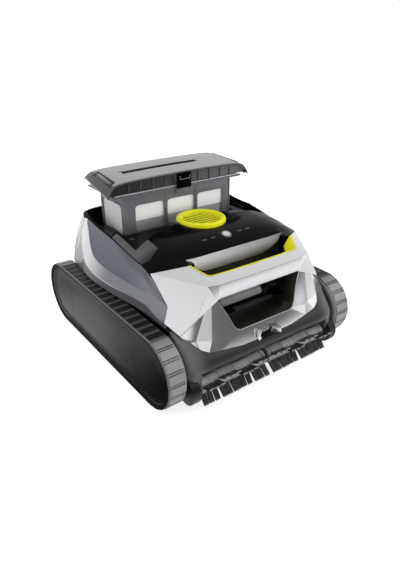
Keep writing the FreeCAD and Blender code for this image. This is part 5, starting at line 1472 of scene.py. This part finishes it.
def soft_lamp(name, place, aim, size, watts):
    """A rectangular lamp that lights the machine but isn't mirrored in it."""
    data = bpy.data.lights.new(name, "AREA")
    data.shape = "RECTANGLE"
    data.size, data.size_y = size
    data.energy = watts
    lamp = bpy.data.objects.new(name, data)
    bpy.context.scene.collection.objects.link(lamp)
    lamp.location = place
    lamp.rotation_euler = (Vector(aim) - Vector(place)).to_track_quat("-Z", "Y").to_euler()
    lamp.visible_glossy = False
    return lamp


def bare_material(name):
    material = bpy.data.materials.new(name)
    material.use_nodes = True
    material.node_tree.nodes.clear()
    return material


def mixed(tree, factor, first, second):
    mix = add_node(tree, "MixShader")
    for source, socket in zip((factor, first, second), mix.inputs):
        tree.links.new(source, socket)
    return mix.outputs[0]


def mirrored_level(tree):
    """How bright the floor is where the machine mirrors it: softer ahead, and by the left track's front."""
    def run(axis, start, end, first=0.0, last=1.0):
        place = frame_x if axis == "X" else frame_y
        return eased(tree, place_along(tree, axis), place(start), place(end), first, last)

    ahead = run("Y", -360, -500, 1.0, 0.3)
    for start, end in ((430, 760), (-230, -330)):
        ahead = worked_out(tree, "MAXIMUM", ahead, run("X", start, end))
    beside = worked_out(tree, "MULTIPLY", run("Y", -170, 130, 0.07, 0.85), run("Y", 230, 380, 1.0, 0.45))
    for start, end in ((-215, -190), (-330, -430)):
        beside = worked_out(tree, "MAXIMUM", beside, run("X", start, end))
    return worked_out(tree, "MULTIPLY", worked_out(tree, "MULTIPLY", ahead, beside), FLOOR_GLOSS)


def pale_floor():
    """A floor that is white where it is seen, keeps the soft shadow under the tracks, and throws little
    light back up."""
    nothing_selected()
    bpy.ops.mesh.primitive_plane_add(size=12.0, location=(0, 0, -0.0004))
    floor = bpy.context.object
    floor.name = "studio_floor"
    material = bare_material("studio_floor_paint")
    tree = material.node_tree
    bounce = add_node(tree, "BsdfDiffuse", Color=(*grey(FLOOR_BOUNCE), 1))
    shown = add_node(tree, "BsdfDiffuse", Color=(*grey(0.5), 1))
    glow = add_node(tree, "Emission", Strength=FLOOR_GLOW)
    both = add_node(tree, "AddShader")
    tree.links.new(shown.outputs[0], both.inputs[0])
    tree.links.new(glow.outputs[0], both.inputs[1])
    mirror = add_node(tree, "Emission")
    tree.links.new(mirrored_level(tree), mirror.inputs["Strength"])
    unseen = mixed(tree, ray_kinds(tree, "Is Glossy Ray"), bounce.outputs[0], mirror.outputs[0])
    seen = mixed(tree, ray_kinds(tree, "Is Camera Ray", "Is Transmission Ray"), unseen, both.outputs[0])
    tree.links.new(seen, add_node(tree, "OutputMaterial").inputs["Surface"])
    floor.data.materials.append(material)


def dark_card():
    """A dark studio card ahead of the machine: only reflections show it."""
    nothing_selected()
    bpy.ops.mesh.primitive_plane_add(size=1.0)
    card = bpy.context.object
    card.name = "dark_card"
    low, high = spot(-350, -580, 1), spot(620, -580, 380)
    card.rotation_euler = (math.pi / 2, 0, 0)
    card.scale = (high.x - low.x, high.z - low.z, 1)
    card.location = (low + high) / 2
    bake_place(card)
    material = bare_material("dark_card_cloth")
    tree = material.node_tree
    amount = ray_kinds(tree, "Is Glossy Ray")
    for axis, start, depth in (("X", low.x, 0.07), ("X", high.x, -0.24), ("Z", low.z, 0.02),
                               ("Z", high.z, -0.12)):
        soft_edge = eased(tree, place_along(tree, axis), start, start + depth)
        amount = worked_out(tree, "MULTIPLY", amount, soft_edge)
    clear = add_node(tree, "BsdfTransparent")
    dark = add_node(tree, "Emission", Strength=0.05)
    cloth = mixed(tree, amount, clear.outputs[0], dark.outputs[0])
    tree.links.new(cloth, add_node(tree, "OutputMaterial").inputs["Surface"])
    card.data.materials.append(material)


def white_room():
    """A white surround: pure white where it is seen directly, a little softer overhead as a reflection, and
    softer still as a source of light."""
    world = bpy.data.worlds.new("white_room")
    bpy.context.scene.world = world
    world.use_nodes = True
    tree = world.node_tree
    back = tree.nodes["Background"]
    back.inputs["Color"].default_value = (1, 1, 1, 1)
    overhead = add_node(tree, "MapRange", To_Min=HORIZON_GLOSS, To_Max=OVERHEAD_GLOSS)
    tree.links.new(place_along(tree, "Z", "Generated"), overhead.inputs["Value"])
    level = add_node(tree, "Mix", A=ROOM_LIGHT)
    tree.links.new(ray_kinds(tree, "Is Glossy Ray"), level.inputs["Factor"])
    tree.links.new(overhead.outputs["Result"], level.inputs["B"])
    shown = add_node(tree, "Mix", B=1.0)
    tree.links.new(ray_kinds(tree, "Is Camera Ray", "Is Transmission Ray"), shown.inputs["Factor"])
    tree.links.new(level.outputs["Result"], shown.inputs["A"])
    tree.links.new(shown.outputs["Result"], back.inputs["Strength"])


pale_floor()
dark_card()
white_room()
soft_lamp("key_lamp", (1.9, -1.3, 0.9), (0.0, -0.1, 0.12), (1.2, 1.2), 26)
soft_lamp("front_lamp", (-0.3, -2.0, 0.35), (0.0, -0.1, 0.1), (1.5, 0.5), 10)
soft_lamp("top_lamp", (-0.1, 0.3, 2.0), (0.0, 0.0, 0.15), (1.6, 1.0), 12)
soft_lamp("side_lamp", (-2.0, -0.1, 0.9), (0.0, 0.0, 0.12), (0.8, 1.2), 8)
soft_lamp("rear_lamp", (0.5, 1.7, 1.1), (0.0, 0.0, 0.15), (1.2, 0.8), 12)

lens = bpy.data.cameras.new("main_view")
lens.lens = 31.4
lens.sensor_width = 36.0
lens.clip_start = 0.01
camera = bpy.data.objects.new("main_view", lens)
bpy.context.scene.collection.objects.link(camera)
camera.location = EYE
camera.rotation_euler = (AIM - EYE).to_track_quat("-Z", "Y").to_euler()
bpy.context.scene.camera = camera
